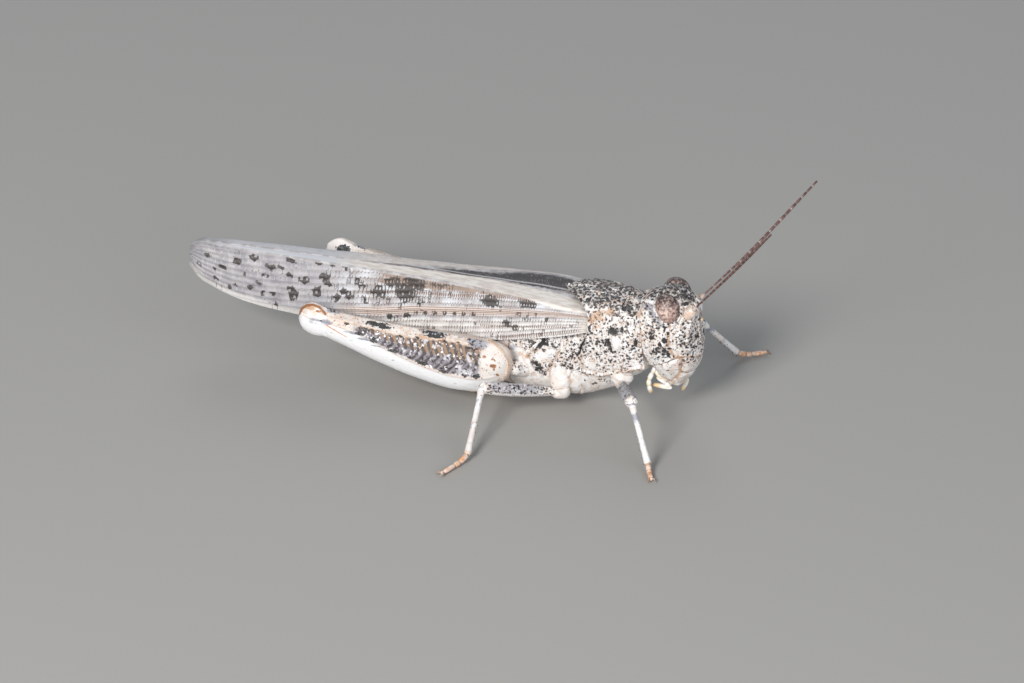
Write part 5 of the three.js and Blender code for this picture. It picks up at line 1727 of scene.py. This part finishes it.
def paint_forewing(wing, c, side):
    points = points_of(wing)
    x = points[:, 0]
    down = c - 1
    main = follow(x, MAIN_VEIN)
    fine = np.linspace(-24.5, 3, 500)
    count = np.cumsum((fine[1] - fine[0]) / CELL_PERIOD.at("period", fine))
    base = patches(x, down, ((2.3, 0.75, 0.55, 0.5, 1), (1.6, 0.02, 0.7, 0.12, 1)))
    band = ease(c - BAND_TOP[side].at("c", x), -0.03, 0.05) * ease(BAND_FOOT.at("c", x) - c, -0.02, 0.04)
    band = highest(band * (1 if side < 0 else 0.75), base)
    vein = down - main
    ragged_x, ragged_down = x + 0.2 * grain(points, 0.45, 31), down + 0.035 * grain(points, 0.3, 37)
    strip_width = np.interp(x, (-11, -9, -7.6, -5.35, -3, 0), (0.24, 0.22, 0.19, 0.13, 0.07, 0.035))
    strip = ease(strip_width - ragged_down, 0, 0.05)
    row = ridge(x, down, ((-12, 0.4), (-10, 0.3), (-6.4, 0.21), (-2.95, 0.07), (-1, 0.03)), 0.035)
    low_row = ridge(x, down, ((-3.2, 0.94), (-1, 0.9), (1.8, 0.84)), 0.055)
    next_row = ridge(x, down, ((-4.5, 0.7), (-1, 0.68), (1, 0.66)), 0.03)
    warm = highest(
        0.9 * strip * ease(x, -12.5, -10) * ease(-x, 0.2, 1.2), 0.55 * row,
        0.3 * ease(vein, 0, 0.1) * ease(-vein, -0.3, -0.2),
        0.5 * patches(x, down, ((1.3, 0.3, 0.4, 0.1, 1),)),
    )
    stripes = ease(0.085 - np.abs(vein - 0.015), 0, 0.025) * ease(x, -15, -11.5)
    clear = ease(-x, 12, 16.5)
    top = ease(1.02 - c, 0, 0.04)
    ragged_c = c + 0.07 * grain(points, 0.25, 43)
    topdark = ease(patches(x + 0.5 * grain(points, 0.5, 41), ragged_c, TOP_SOOT[side]), 0.2, 0.8)
    topvein = highest(
        0.9 * ridge(x, c, TOP_VEIN[side], 0.03), 0.5 * ridge(x, c, ((-24, 0.12), (-8, 0.12)), 0.03)
    )
    square_gate = ease(np.cos(2 * math.pi * x / 0.62), 0.1, 0.6) * ease(-x, 4.2, 4.8) * ease(x, -9, -8.5)
    squares = bump_at(vein, 0.075, 0.03) * square_gate
    dark = highest(patches(ragged_x, ragged_down, WING_BLOTCHES), squares)
    glass = ease(-x, 20.5, 23.8) * ease(np.abs(down - 0.45), 0.25, 0.5) + 0.5 * ease(-x, 22.8, 24)
    paint(
        wing, along=np.interp(x, fine, count), across=c, vein=vein, dark=dark, tan=warm, band=band,
        stripes=stripes, beads=highest(row, low_row, next_row), clear=clear,
        rim=ease(down, 0.86, 0.94) * clear, top=top, topdark=topdark, topvein=np.clip(topvein, 0, 1),
        glass=np.clip(glass, 0, 1),
    )


def forewing_relief(wing, c):
    """Main vein, thick front margin, ridge and the shallow flutes between the long veins."""
    points = points_of(wing)
    x = points[:, 0]
    down = c - 1
    vein = down - follow(x, MAIN_VEIN)
    tall = sizes().vein_height / MM
    height = tall * bump_at(vein, 0, 0.02) + 0.6 * tall * bump_at(vein, 0.05, 0.015)
    height += tall * bump_at(down, 1, 0.03) + 0.8 * tall * bump_at(c, 1, 0.06)
    flutes = np.cos(2 * math.pi * vein * CELL_ROWS)
    height += 0.5 * tall * flutes * ease(down, 0.03, 0.15) * ease(1 - down, 0.02, 0.1)
    height += 0.5 * tall * bump_at(c, 0.34, 0.03) * ease(x, -9, -7)
    height += 0.02 * grain(points, 1.4, 5)
    move_points(wing, points + normals_of(wing) * height[:, None])


class GRASSHOPPER_OT_forewings(bpy.types.Operator):
    """Adds the folded forewings with their veins; the left one laps over the right at the midline"""

    bl_idname = "grasshopper.forewings"
    bl_label = "Forewings"

    def execute(self, context):
        finish = forewing_finish("forewing")
        for name, side in SIDES.items():
            lap = -0.22 if side > 0 else -0.12
            form = wing_form(side, WING_TIP, WING_ROOT, lap, shift=0 if side > 0 else 0.035)
            section = []

            def place(across, along):
                found = form(across, along)
                section.append(found[:, 3])
                return found[:, :3]

            wing = panel(f"forewing_{name}", 92, 300, place)
            c = section[0]
            face_away(wing)
            forewing_relief(wing, c)
            paint_forewing(wing, c, side)
            thicken(wing, sizes().wing_skin / MM, lambda points: points - (-10, 0, 5.5))
            settle(wing, finish, "wing_membrane", f"tegmen_{name}")
        return {"FINISHED"}


class GRASSHOPPER_OT_hindwings(bpy.types.Operator):
    """Adds the hindwings, folded like fans below the forewings"""

    bl_idname = "grasshopper.hindwings"
    bl_label = "Hindwings"

    def execute(self, context):
        finish = hindwing_finish("hindwing")
        for name, side in SIDES.items():
            form = wing_form(side, -22.4, -0.6, 0.1, shift=0.34)
            wing = panel(
                f"hindwing_folds_{name}", 84, 120, lambda across, along: form(across, along)[:, :3]
            )
            face_away(wing)
            points = points_of(wing)
            fold = np.cos(2 * math.pi * share_across(wing, 84) * 13)
            move_points(wing, points + normals_of(wing) * (0.07 * fold)[:, None])
            paint(wing, pleat=0.5 + 0.5 * fold)
            thicken(wing, 0.05, lambda places: places - (-10, 0, 5.5))
            settle(wing, finish, "hindwing_membrane", f"hindwing_{name}")
        return {"FINISHED"}


# ---------------------------------------------------------------- legs

RIB_PITCH = 0.42
HERRINGBONE_ENDS = (-12.3, -3.75)
# Marks on the outer side of the hind thigh, as seen: place, reaches and strength.
THIGH_SOOT = (
    (-10.7, 5.68, 0.5, 0.16, 0.95), (-10, 5.52, 0.5, 0.18, 0.95), (-10.35, 5.62, 0.95, 0.22, 0.7),
    (-6.81, 5.72, 1, 0.42, 0.75), (-6.85, 5.38, 0.6, 0.13, 1), (-4.02, 5.4, 0.7, 0.42, 0.5),
    (-4, 4.95, 0.3, 0.1, 1), (-13.25, 6.15, 0.35, 0.16, 0.75), (-14.6, 5.15, 0.45, 0.22, 0.2),
    (-14.1, 5.25, 0.12, 0.1, 0.7), (-11.3, 4.42, 0.45, 0.06, 0.7), (-11.62, 4.74, 0.24, 0.1, 1.4),
    (-10.73, 4.4, 0.24, 0.09, 1.4), (-9.45, 3.91, 0.34, 0.1, 1.4), (-7.59, 3.34, 0.36, 0.12, 1.4),
    (-6.18, 2.98, 0.3, 0.1, 1.2), (-8.4, 3.66, 0.18, 0.07, 0.9), (-4.9, 2.95, 0.22, 0.08, 0.8),
    (-9, 5.04, 0.2, 0.06, 1.2), (-12.4, 5.35, 0.16, 0.07, 1.2), (-7.9, 5.12, 0.2, 0.06, 1),
    (-6.2, 5.16, 0.24, 0.07, 1.2), (-4.5, 4.96, 0.3, 0.08, 1.2), (-5.3, 5.2, 0.2, 0.05, 1),
    (-11.3, 5.2, 0.16, 0.06, 0.9), (-4.15, 3, 0.3, 0.12, 0.8), (-3.9, 4.5, 0.16, 0.14, 0.8),
)
THIGH_SLATE = (
    (-6.8, 5.72, 0.95, 0.45, 0.9), (-4, 5.4, 0.8, 0.45, 1), (-5.1, 5.65, 0.3, 0.14, 0.6),
    (-13.3, 6.1, 0.55, 0.22, 0.9), (-14.5, 5.17, 0.48, 0.28, 0.66), (-13.75, 5.22, 0.4, 0.24, 1.05),
    (-10.3, 5.6, 1, 0.26, 0.6), (-12, 4.75, 0.7, 0.12, 0.7), (-11.3, 4.42, 0.55, 0.09, 1.1),
    (-10.5, 4.08, 0.5, 0.07, 0.9),
)
THIGH_RUST = (
    (-3.05, 3.92, 0.22, 0.18, 1.2), (-3.62, 4.5, 0.16, 0.14, 1.2), (-2.75, 3.35, 0.14, 0.14, 1.1),
    (-2.95, 4.35, 0.13, 0.1, 1.1), (-2.6, 3.9, 0.1, 0.1, 1), (-3.45, 3.55, 0.09, 0.09, 0.9),
    (-5.37, 5.12, 0.18, 0.08, 1.2), (-6.38, 5.19, 0.2, 0.08, 1.2), (-3.1, 4.4, 0.15, 0.13, 1),
    (-3, 3.7, 0.13, 0.13, 1.1), (-3.9, 4.95, 0.17, 0.14, 1.2), (-2.9, 4.75, 0.1, 0.1, 0.9),
    (-3.45, 3.95, 0.1, 0.09, 0.9), (-2.72, 4.2, 0.1, 0.09, 0.8), (-3.2, 5.1, 0.12, 0.09, 0.7),
    (-12.8, 5.75, 0.12, 0.07, 0.9), (-11.6, 5.55, 0.14, 0.06, 0.8), (-9.2, 5.5, 0.4, 0.16, 0.5),
    (-8.3, 5.35, 0.5, 0.14, 0.6), (-5.2, 5.4, 0.5, 0.14, 0.5),
)
ORANGE_LINE = ((-13.75, 5.02), (-12.34, 4.34))
BASE_ARC = (
    (-3.35, 5.79), (-2.9, 5.5), (-2.53, 5.1), (-2.1, 4.5), (-2.02, 4.15), (-2.15, 3.53), (-2.4, 3.1)
)
KNEE_ARC = ((-15.5, 5.55), (-15.3, 5.95), (-15, 6.2), (-14.63, 6.32), (-14.2, 6.2), (-13.8, 5.8))
KNEE_SEAM = ((-15.3, 5.2), (-14.3, 5.1), (-13.6, 5))


def thigh_form(along, around):
    y, z, half_width, half_height = HIND_FEMUR.several(along, "y", "z", "half_width", "half_height")
    outward = half_width * bent(np.cos(around), 2.1)
    return np.column_stack(
        (HIND_FEMUR.at("x", along), y + outward, z + half_height * bent(np.sin(around), 2.1))
    )


def thigh_fields(points):
    """Keel heights, the share of the herringbone zone and the ribs in it."""
    x, _, z = points.T
    upper, lower = UPPER_CARINA.at("z", x), LOWER_CARINA.at("z", x)
    middle, half = (upper + lower) / 2, highest((upper - lower) / 2, 0.05)
    inside = ease(1 - np.abs(z - middle) / half, 0.02, 0.16)
    start, end = HERRINGBONE_ENDS
    zone = inside * ease(x, start, start + 0.7) * ease(end - x, 0, 0.35)
    slant = np.where(z > middle, 0.5, 0.75) * np.abs(z - middle) + 0.1 * grain(points, 0.6, 3)
    rib = 0.5 + 0.5 * np.cos(2 * math.pi * (x + slant) / RIB_PITCH)
    return upper, lower, zone, rib


def thigh_relief(points):
    x, y, z = points.T
    upper, lower, zone, rib = thigh_fields(points)
    long_part = ease(x, -14, -13) * ease(-x, 2.6, 3.6)
    height = 0.075 * bump_at(z, upper, 0.07) * long_part + 0.07 * bump_at(z, lower, 0.07) * long_part
    height -= 0.05 * zone
    height += sizes().chevron_height / MM * rib * zone * (1 + 0.5 * bump_at(z, (upper + lower) / 2, 0.2))
    top = HIND_FEMUR.at("z", thigh_run(x)) + HIND_FEMUR.at("half_height", thigh_run(x))
    height += 0.05 * bump_at(y, 3.4, 0.1) * (z > upper) * ease(top - z, 0.5, 0)
    across, up = seen(points, THIGH_PLANE)
    height += 0.07 * ridge(across, up, KNEE_ARC, 0.12) - 0.07 * ridge(x, z, KNEE_SEAM, 0.07)
    height += 0.07 * ridge(across, up, BASE_ARC, 0.07) + 0.05 * patches(x, z, ((-3, 4.1, 0.6, 0.9, 1),))
    height -= 0.06 * ridge(x, z, ((-13.9, 5.7), (-13.75, 5), (-13.9, 4.2)), 0.08)
    height += 0.012 * grain(points, 0.25, 2)
    return height


def thigh_run(x):
    """Where along the thigh's outline a place lies."""
    run, places = HIND_FEMUR.columns["run"], HIND_FEMUR.columns["x"]
    return np.interp(x, places, run)


def paint_thigh(piece, is_left):
    points = points_of(piece)
    x, y, z = points.T
    across, up = seen(points, THIGH_PLANE)
    upper, lower, zone, rib = thigh_fields(points)
    outer = ease(y, 3.2, 3.5)
    white = ease(lower - z, 0.03, 0.12) * ease(-x, 2.6, 3.6)
    knee = ease(-x, 13.7, 14.1)
    dots = np.zeros_like(x)
    for number in range(8):
        place = -4.2 - 1.32 * number
        low = float(LOWER_CARINA.at("z", np.array(place)))
        dots = highest(dots, patches(x, z, ((place, low - 0.62, 0.18, 0.1, 0.5),)))
    keel = highest(0.8 * bump_at(z, upper, 0.11), 0.4 * bump_at(z, lower, 0.06)) * ease(x, -13.2, -12.4)
    crescent = ridge(across, up, KNEE_ARC, 0.1) + 0.9 * patches(across, up, ((-14.26, 5.9, 0.18, 0.09, 1),))
    crescent = crescent * (0.2 if is_left else 1)
    pale_base = patches(across, up, ((-3.05, 4.3, 0.95, 1.25, 1),)) * ease(across, -4.1, -3.8)
    above = ease(z - (upper + lower) / 2, -0.1, 0.35)
    rust = patches(*seen_rough(points, THIGH_PLANE, 0.08), THIGH_RUST) * outer
    streak = ridge(across, up, ORANGE_LINE, np.interp(across, (-13.9, -12.4), (0.09, 0.03))) * outer
    warm = highest(
        keel * ease(-x, 3.9, 4.4) * 0.8,
        0.75 * ridge(across, up, BASE_ARC, 0.075),
        0.5 * rust,
        ridge(across, up, ORANGE_LINE, 0.06) * 0.6 * outer,
        zone * above * 0.7,
        0.42 * outer * (z > upper) * ease(-x, 4, 5),
        0.9 * patches(across, up, ((-14.75, 6.08, 0.45, 0.2, 1),)) * (not is_left),
    )
    dark = patches(across, up, THIGH_SOOT) * outer + 0.08 * zone + 0.03
    if is_left:
        dark = dark * (1 - knee) + knee * patches(x, z, ((-14.5, 5.5, 0.5, 0.3, 1.3),))
    dark = dark * (1 - 0.6 * pale_base) - 0.2 * white * (dark < 0.2)
    slate = highest(patches(across, up, THIGH_SLATE) * outer, dots * white)
    chalk = highest(white, 0.25 * pale_base, 0.6 * knee * (1 - crescent), 0.15 * outer * (z > upper))
    paint(
        piece, dark=dark, tan=np.clip(warm, 0, 1), slate=slate, chalk=np.clip(chalk, 0, 1), orange=streak,
        zone=zone * ease(y, 2.6, 3), rib=rib, chestnut=np.clip(highest(crescent * 1.2, 0.62 * rust), 0, 1),
    )


def carry_left_knee(piece):
    """The left knee is held a little farther back and higher than the right one."""
    points = points_of(piece)
    share = np.clip((KNEE_CARRY["from"] - points[:, 0]) / KNEE_CARRY["over"], 0, 1)
    points[:, 0] -= KNEE_CARRY["back"] * share
    points[:, 2] += KNEE_CARRY["up"] * share
    move_points(piece, points)


HIP_RINGS = (
    (0, 0.4), (0.06, 0.75), (0.25, 0.95), (0.5, 1), (0.72, 0.97), (0.86, 0.85), (0.95, 0.6), (1, 0.3)
)
CONE_RINGS = (
    (0, 0.3), (0.06, 0.5), (0.2, 0.74), (0.35, 0.9), (0.5, 0.98), (0.62, 0.94), (0.66, 0.86), (0.74, 0.84),
    (0.86, 0.7), (0.93, 0.55), (1, 0.3),
)
THIGH_RINGS = (
    (0, 0.3), (0.03, 0.5), (0.12, 0.62), (0.3, 0.82), (0.5, 0.95), (0.68, 1), (0.82, 0.95), (0.9, 0.84),
    (0.94, 0.9), (0.98, 0.82), (1, 0.45),
)
SHIN_RINGS = (
    (0, 0.7), (0.015, 1.25), (0.05, 1.35), (0.09, 1), (0.3, 0.95), (0.6, 0.9), (0.88, 1), (0.96, 1.2),
    (0.99, 1.1), (1, 0.6),
)
SPINE_RINGS = ((0, 1), (0.4, 0.7), (0.8, 0.35), (1, 0.05))
PAD_RINGS = ((0, 0.5), (0.12, 0.9), (0.45, 0.95), (0.8, 1), (0.95, 0.8), (1, 0.45))


def across_bar(start, end, turn):
    """A direction square to a bar, turned round it from the top by an angle."""
    forward = (Vector(end) - Vector(start)).normalized()
    level = level_across(forward)
    return Matrix.Rotation(turn, 3, forward) @ level.cross(forward)


class GRASSHOPPER_OT_thighs(bpy.types.Operator):
    """Adds the two hind thighs with their keels and herringbone"""

    bl_idname = "grasshopper.thighs"
    bl_label = "Hind thighs"

    def execute(self, context):
        finish = thigh_finish("hind thigh")
        for name, side in SIDES.items():
            thigh = skin(f"hind_thigh_{name}", 128, 300, thigh_form)
            emboss(thigh, thigh_relief)
            paint_thigh(thigh, is_left=side > 0)
            if side > 0:
                carry_left_knee(thigh)
            settle(mirrored(thigh, side), finish, "speckled_cuticle", f"hind_{name}_femur")
        return {"FINISHED"}


class LegParts:
    """Unit bars that the legs are put together from."""

    def __init__(self):
        self.hip = subdivided(turned("hip_bar", HIP_RINGS, sides=16), 1)
        self.cone = subdivided(turned("cone_bar", CONE_RINGS, sides=16), 1)
        self.thigh = subdivided(turned("thigh_bar", THIGH_RINGS, sides=14), 1)
        self.shin = subdivided(turned("shin_bar", SHIN_RINGS, sides=12), 1)
        self.pad = subdivided(turned("pad_bar", PAD_RINGS, sides=12), 1)
        self.spine = turned("spine_bar", SPINE_RINGS, sides=8)

    def bar(self, template, start, end, width, **fields):
        """One bar from start to end; each field is a number or a function of the height along it."""
        part = copy_of(template, "leg_part", aimed(start, end, width))
        height = joint_height(template)
        paint(part, **{name: field(height) if callable(field) else field for name, field in fields.items()})
        return part

    def spines(self, start, end, places, turns, length, radius, root):
        """Rows of slanting spines along a shin, soot-tipped."""
        start, end = Vector(start), Vector(end)
        forward = (end - start).normalized()
        parts = []
        for turn in turns:
            out = across_bar(start, end, turn)
            for place in places:
                foot = start.lerp(end, place) + out * root
                tip = foot + (out * 0.8 + forward * 0.6).normalized() * length
                parts.append(self.bar(
                    self.spine, foot, tip, radius, band=0, tan=0.3,
                    dark=lambda h: 1.5 * ease(h, 0.45, 0.6),
                ))
        return parts

    def foot(self, route, radius):
        """Three foot joints, two claws and the lobe between them."""
        start, bend, end = (Vector(place) for place in route)
        first = start.lerp(bend, 0.92)
        second = bend.lerp(end, 0.22)
        last = bend.lerp(end, 0.8)
        plain = {"claw": 0, "pale": lambda h: 0.55 * ease(h, 0.5, 0)}
        parts = [
            self.bar(self.pad, start, first, radius, **plain),
            self.bar(self.pad, first, second, radius * 0.95, **plain),
            self.bar(self.pad, second, last, radius * 0.85, **plain),
        ]
        forward = (end - bend).normalized()
        level = level_across(forward)
        for way in (1, -1):
            elbow = last + forward * 0.26 + level * way * 0.17 + Vector((0, 0, 0.06))
            tip = elbow + forward * 0.16 + level * way * 0.05 - Vector((0, 0, 0.12))
            back = elbow - (tip - elbow) * 0.15
            parts += [
                self.bar(self.pad, last - forward * 0.05, elbow, 0.07, claw=lambda h: 0.5 * h, pale=0),
                self.bar(self.spine, back, tip, 0.06, claw=lambda h: 0.5 + 0.5 * h, pale=0),
            ]
        lobe_end = last + forward * 0.2
        parts.append(self.bar(self.hip, last, lobe_end, 0.11, claw=0, pale=0.6))
        return parts

    def discard(self):
        discard(self.hip, self.cone, self.thigh, self.shin, self.pad, self.spine)


def press_to_floor(piece, level=0):
    """Flattens what would reach below the floor."""
    points = points_of(piece)
    points[:, 2] = highest(points[:, 2], level)
    move_points(piece, points)


def three_keels(points, start, end, height):
    """Long keels on a bar: how far each of its points is raised."""
    start, end = Vector(start), Vector(end)
    forward = (end - start).normalized()
    level = np.array(level_across(forward))
    upward = np.cross(level, np.array(forward))
    away = points - np.array(start)
    turn = np.arctan2(away @ level, away @ upward)
    return height * highest(np.cos(turn * 4), 0) ** 3


class GRASSHOPPER_OT_walking_legs(bpy.types.Operator):
    """Adds the fore and middle legs from hip to claw"""

    bl_idname = "grasshopper.walking_legs"
    bl_label = "Walking legs"

    def execute(self, context):
        bars = LegParts()
        skins = {
            "hip": pale_finish("hip cuticle"), "thigh": speckled_finish("leg cuticle", 0.1, tinge=0.3),
            "shin": banded_finish("shin cuticle"), "foot": foot_finish("foot cuticle"),
        }
        for name, route in LEG_ROUTES.items():
            pair, side = name.split("_")
            places = [Vector(place) for place in LEG_ROOTS[pair] + route]
            self.add_leg(bars, skins, name, SIDES[side], places)
        bars.discard()
        return {"FINISHED"}

    def add_leg(self, bars, skins, name, side, route):
        root, hip, knee, ankle, claw = route
        fore = name.startswith("fore")
        hip_end = hip.lerp(knee, 0.13)
        fields = {
            "dark": 0.01, "slate": 0,
            "tan": lambda h: bumps(h, (0.4, 0.02, 0.6), (0.66, 0.02, 0.8), (0.9, 0.03, 0.5)),
        }
        hip_parts = [
            bars.bar(bars.cone, root, hip + (hip - root) * 0.16, 0.8 if fore else 0.68, **fields),
            bars.bar(bars.hip, hip - (knee - hip).normalized() * 0.4, hip_end, 0.4, **fields),
        ]
        coxa = mirrored(joined(f"{name}_hip", hip_parts), side)
        emboss(coxa, lambda points: 0.09 * grain(points, 0.45, 3) + 0.03 * grain(points, 0.2, 1))
        settle(coxa, skins["hip"], "pale_cuticle", f"{name}_coxa")

        start, end = hip.lerp(knee, 0.06), knee + (knee - hip).normalized() * 0.14
        thigh = copy_of(bars.thigh, f"{name}_thigh", aimed(start, end, 0.44))
        emboss(thigh, lambda points: three_keels(points, hip, knee, 0.05) + 0.02 * grain(points, 0.3, 2))
        height = joint_height(bars.thigh)
        lower = ease(-normals_of(thigh)[:, 2], 0.1, 0.5)
        bands = bumps(height, (0.35, 0.1, 1), (0.62, 0.1, 1), (0.84, 0.05, 0.7))
        middle = ease(height, 0.1, 0.25) * ease(1 - height, 0.04, 0.14)
        mottle = (0.2 * bands if fore else 0.24 * middle) * (1 - lower)
        cloud = (0.9 if fore else 0.75) * middle * (1 - 0.85 * lower)
        warm = 0.4 * bump_at(height, 0.12, 0.1) + 0.5 * bump_at(height, 0.93, 0.03)
        paint(
            thigh, dark=mottle - 0.05, tan=warm, slate=cloud,
            chalk=highest(0.7 * lower, 0.3 * ease(height, 0.86, 0.95)), spots=0,
        )
        settle(mirrored(thigh, side), skins["thigh"], "speckled_cuticle", f"{name}_femur")

        def banding(height):
            rings = bumps(height, (0.24, 0.07, 1), (0.55, 0.06, 0.8), (0.02, 0.04, 0.6))
            return 0.12 + rings * (1 if fore else 0.6)

        low, full, start, end = (0.25, 1, 0.955, 0.985) if fore else (0.35, 0.7, 0.9, 1)
        shin_parts = [bars.bar(
            bars.shin, knee, ankle, 0.2, band=banding, dark=lambda h: 0.04 * banding(h),
            tan=lambda h: highest(low, full * ease(h, start, end)),
        )]
        shin_parts += bars.spines(knee, ankle, np.linspace(0.5, 0.95, 5), (2.5, 3.8), 0.26, 0.035, 0.13)
        shin = mirrored(joined(f"{name}_shin", shin_parts), side)
        settle(shin, skins["shin"], "pale_cuticle", f"{name}_tibia")
        bend = Vector((lerp(ankle.x, claw.x, 0.3), lerp(ankle.y, claw.y, 0.3), claw.z + 0.06))
        foot = mirrored(joined(f"{name}_foot", bars.foot((ankle, bend, claw), 0.19)), side)
        press_to_floor(foot)
        settle(foot, skins["foot"], "foot_cuticle", f"{name}_tarsus")


class GRASSHOPPER_OT_hind_legs(bpy.types.Operator):
    """Adds the hind hips, the folded shins with their spines and spurs, and the hind feet"""

    bl_idname = "grasshopper.hind_legs"
    bl_label = "Hind shins and feet"

    def execute(self, context):
        bars = LegParts()
        hip_skin, shin_skin = pale_finish("hind hip cuticle"), banded_finish("hind shin cuticle")
        foot_skin = foot_finish("hind foot cuticle")
        for name, side in SIDES.items():
            knee, ankle = (Vector(place) for place in HIND_TIBIA)
            if side > 0:
                knee += Vector((-KNEE_CARRY["back"], 0, KNEE_CARRY["up"]))
            root, end = (Vector(place) for place in HIND_COXA)
            fields = {
                "dark": lambda h: 0.1 * ease(h, 0.2, 0.5), "tan": lambda h: 0.5 * ease(h, 0.7, 1),
                "slate": lambda h: 0.5 * bump_at(h, 0.6, 0.25),
            }
            hip = bars.bar(bars.hip, root, end + (end - root) * 0.05, 0.5, **fields)
            emboss(hip, lambda points: 0.05 * grain(points, 0.6, 3))
            hip.name = hip.data.name = f"hind_hip_{name}"
            settle(mirrored(hip, side), hip_skin, "pale_cuticle", f"hind_{name}_coxa")
            parts = [bars.bar(
                bars.shin, knee, ankle, 0.27, dark=0.02,
                band=lambda h: bumps(h, (0.09, 0.03, 0.9), (0.3, 0.05, 0.7)),
                tan=lambda h: 0.15 + 0.5 * ease(h, 0.9, 1) + 0.5 * bump_at(h, 0.04, 0.03),
            )]
            length = sizes().spine_length / MM
            parts += bars.spines(knee, ankle, np.linspace(0.3, 0.93, 9), (2.55, 3.75), length, 0.07, 0.2)
            for turn in (2.3, 2.9, 3.4, 4):
                out = across_bar(knee, ankle, turn)
                forward = (ankle - knee).normalized()
                foot = ankle + out * 0.12
                parts.append(bars.bar(
                    bars.spine, foot, foot + forward * 0.6 + out * 0.16, 0.065, band=0,
                    tan=0.4, dark=lambda h: 1.5 * ease(h, 0.6, 0.75),
                ))
            shin = mirrored(joined(f"hind_shin_{name}", parts), side)
            press_to_floor(shin)
            settle(shin, shin_skin, "pale_cuticle", f"hind_{name}_tibia")
            foot = mirrored(joined(f"hind_foot_{name}", bars.foot(HIND_TARSUS, 0.22)), side)
            press_to_floor(foot)
            settle(foot, foot_skin, "foot_cuticle", f"hind_{name}_tarsus")
        bars.discard()
        return {"FINISHED"}


# ---------------------------------------------------------------- stage

CAMERA_PLACE = (85.59, -290.088, 178.496)  # in the animal's frame
LENS, SENSOR = 200, 36
FLOOR_SIZE = 2.4  # metres
LIGHTS = (
    # name, place in the animal's frame, size, power in watts and colour
    ("key", (-60, -285, 190), 105, 1.15, (1, 0.985, 0.965)),
    ("fill", (300, -160, 190), 260, 0.3, (0.9, 0.95, 1)),
    ("low", (200, -260, 60), 200, 0.35, (1, 0.985, 0.97)),
    ("back", (-80, 280, 260), 220, 0.3, (0.95, 0.97, 1)),
)


class GRASSHOPPER_OT_stage(bpy.types.Operator):
    """Adds the floor, soft studio lights, the pale surroundings and the camera"""

    bl_idname = "grasshopper.stage"
    bl_label = "Stage"

    def execute(self, context):
        clear_selection()
        bpy.ops.mesh.primitive_plane_add(size=FLOOR_SIZE, location=(0, 0, -0.00002))
        floor = named("floor")
        bpy.ops.object.transform_apply(location=True, rotation=True, scale=True)
        floor.data.materials.append(floor_finish("floor"))
        for name, place, size, power, colour in LIGHTS:
            self.add_light(name, place, size, power, colour)
        self.add_surroundings(context.scene)
        self.add_camera(context.scene)
        context.scene.view_settings.view_transform = "Standard"
        return {"FINISHED"}

    def add_light(self, name, place, size, power, colour):
        place = (Vector(place) + SHIFT) * MM
        bpy.ops.object.light_add(type="AREA", location=place)
        light = bpy.context.active_object
        light.name = light.data.name = name
        light.data.size = size * MM
        light.data.energy = power
        light.data.color = colour
        light.rotation_euler = (-place).to_track_quat("-Z", "Y").to_euler()

    def add_surroundings(self, scene):
        world = bpy.data.worlds.new("surroundings")
        world.use_nodes = True
        sky = world.node_tree.nodes["Background"]
        sky.inputs["Color"].default_value = (0.8, 0.88, 1, 1)
        sky.inputs["Strength"].default_value = 0.3
        scene.world = world

    def add_camera(self, scene):
        bpy.ops.object.camera_add(location=(Vector(CAMERA_PLACE) + SHIFT) * MM)
        camera = bpy.context.active_object
        camera.name = camera.data.name = "view"
        camera.data.lens, camera.data.sensor_width = LENS, SENSOR
        camera.data.clip_start, camera.data.clip_end = 0.01, 10
        camera.rotation_euler = (math.radians(90 - VIEW_ELEVATION), 0, math.radians(VIEW_AZIMUTH))
        scene.camera = camera


# ---------------------------------------------------------------- panel and registration

PIECE_OPERATORS = (
    GRASSHOPPER_OT_head,
    GRASSHOPPER_OT_eyes,
    GRASSHOPPER_OT_feelers,
    GRASSHOPPER_OT_mouthparts,
    GRASSHOPPER_OT_pronotum,
    GRASSHOPPER_OT_thorax,
    GRASSHOPPER_OT_abdomen,
    GRASSHOPPER_OT_forewings,
    GRASSHOPPER_OT_hindwings,
    GRASSHOPPER_OT_thighs,
    GRASSHOPPER_OT_hind_legs,
    GRASSHOPPER_OT_walking_legs,
    GRASSHOPPER_OT_stage,
)


class GRASSHOPPER_PT_panel(bpy.types.Panel):
    """Sizes, colours and one button for each group of pieces"""

    bl_idname = "GRASSHOPPER_PT_panel"
    bl_label = "Sand Grasshopper"
    bl_space_type = "VIEW_3D"
    bl_region_type = "UI"
    bl_category = "Grasshopper"

    def draw(self, context):
        layout = self.layout
        for settings in (context.scene.grasshopper_sizes, context.scene.grasshopper_colours):
            for name in settings.__annotations__:
                layout.prop(settings, name)
        for operator in PIECE_OPERATORS:
            layout.operator(operator.bl_idname)


CLASSES = (GrasshopperSizes, GrasshopperColours, *PIECE_OPERATORS, GRASSHOPPER_PT_panel)


def register():
    for item in CLASSES:
        bpy.utils.register_class(item)
    bpy.types.Scene.grasshopper_sizes = PointerProperty(type=GrasshopperSizes)
    bpy.types.Scene.grasshopper_colours = PointerProperty(type=GrasshopperColours)


def unregister():
    del bpy.types.Scene.grasshopper_colours
    del bpy.types.Scene.grasshopper_sizes
    for item in reversed(CLASSES):
        bpy.utils.unregister_class(item)


def main():
    register()
    for operator in PIECE_OPERATORS:
        group, name = operator.bl_idname.split(".")
        getattr(getattr(bpy.ops, group), name)()
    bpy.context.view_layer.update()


if __name__ == "__main__":
    main()
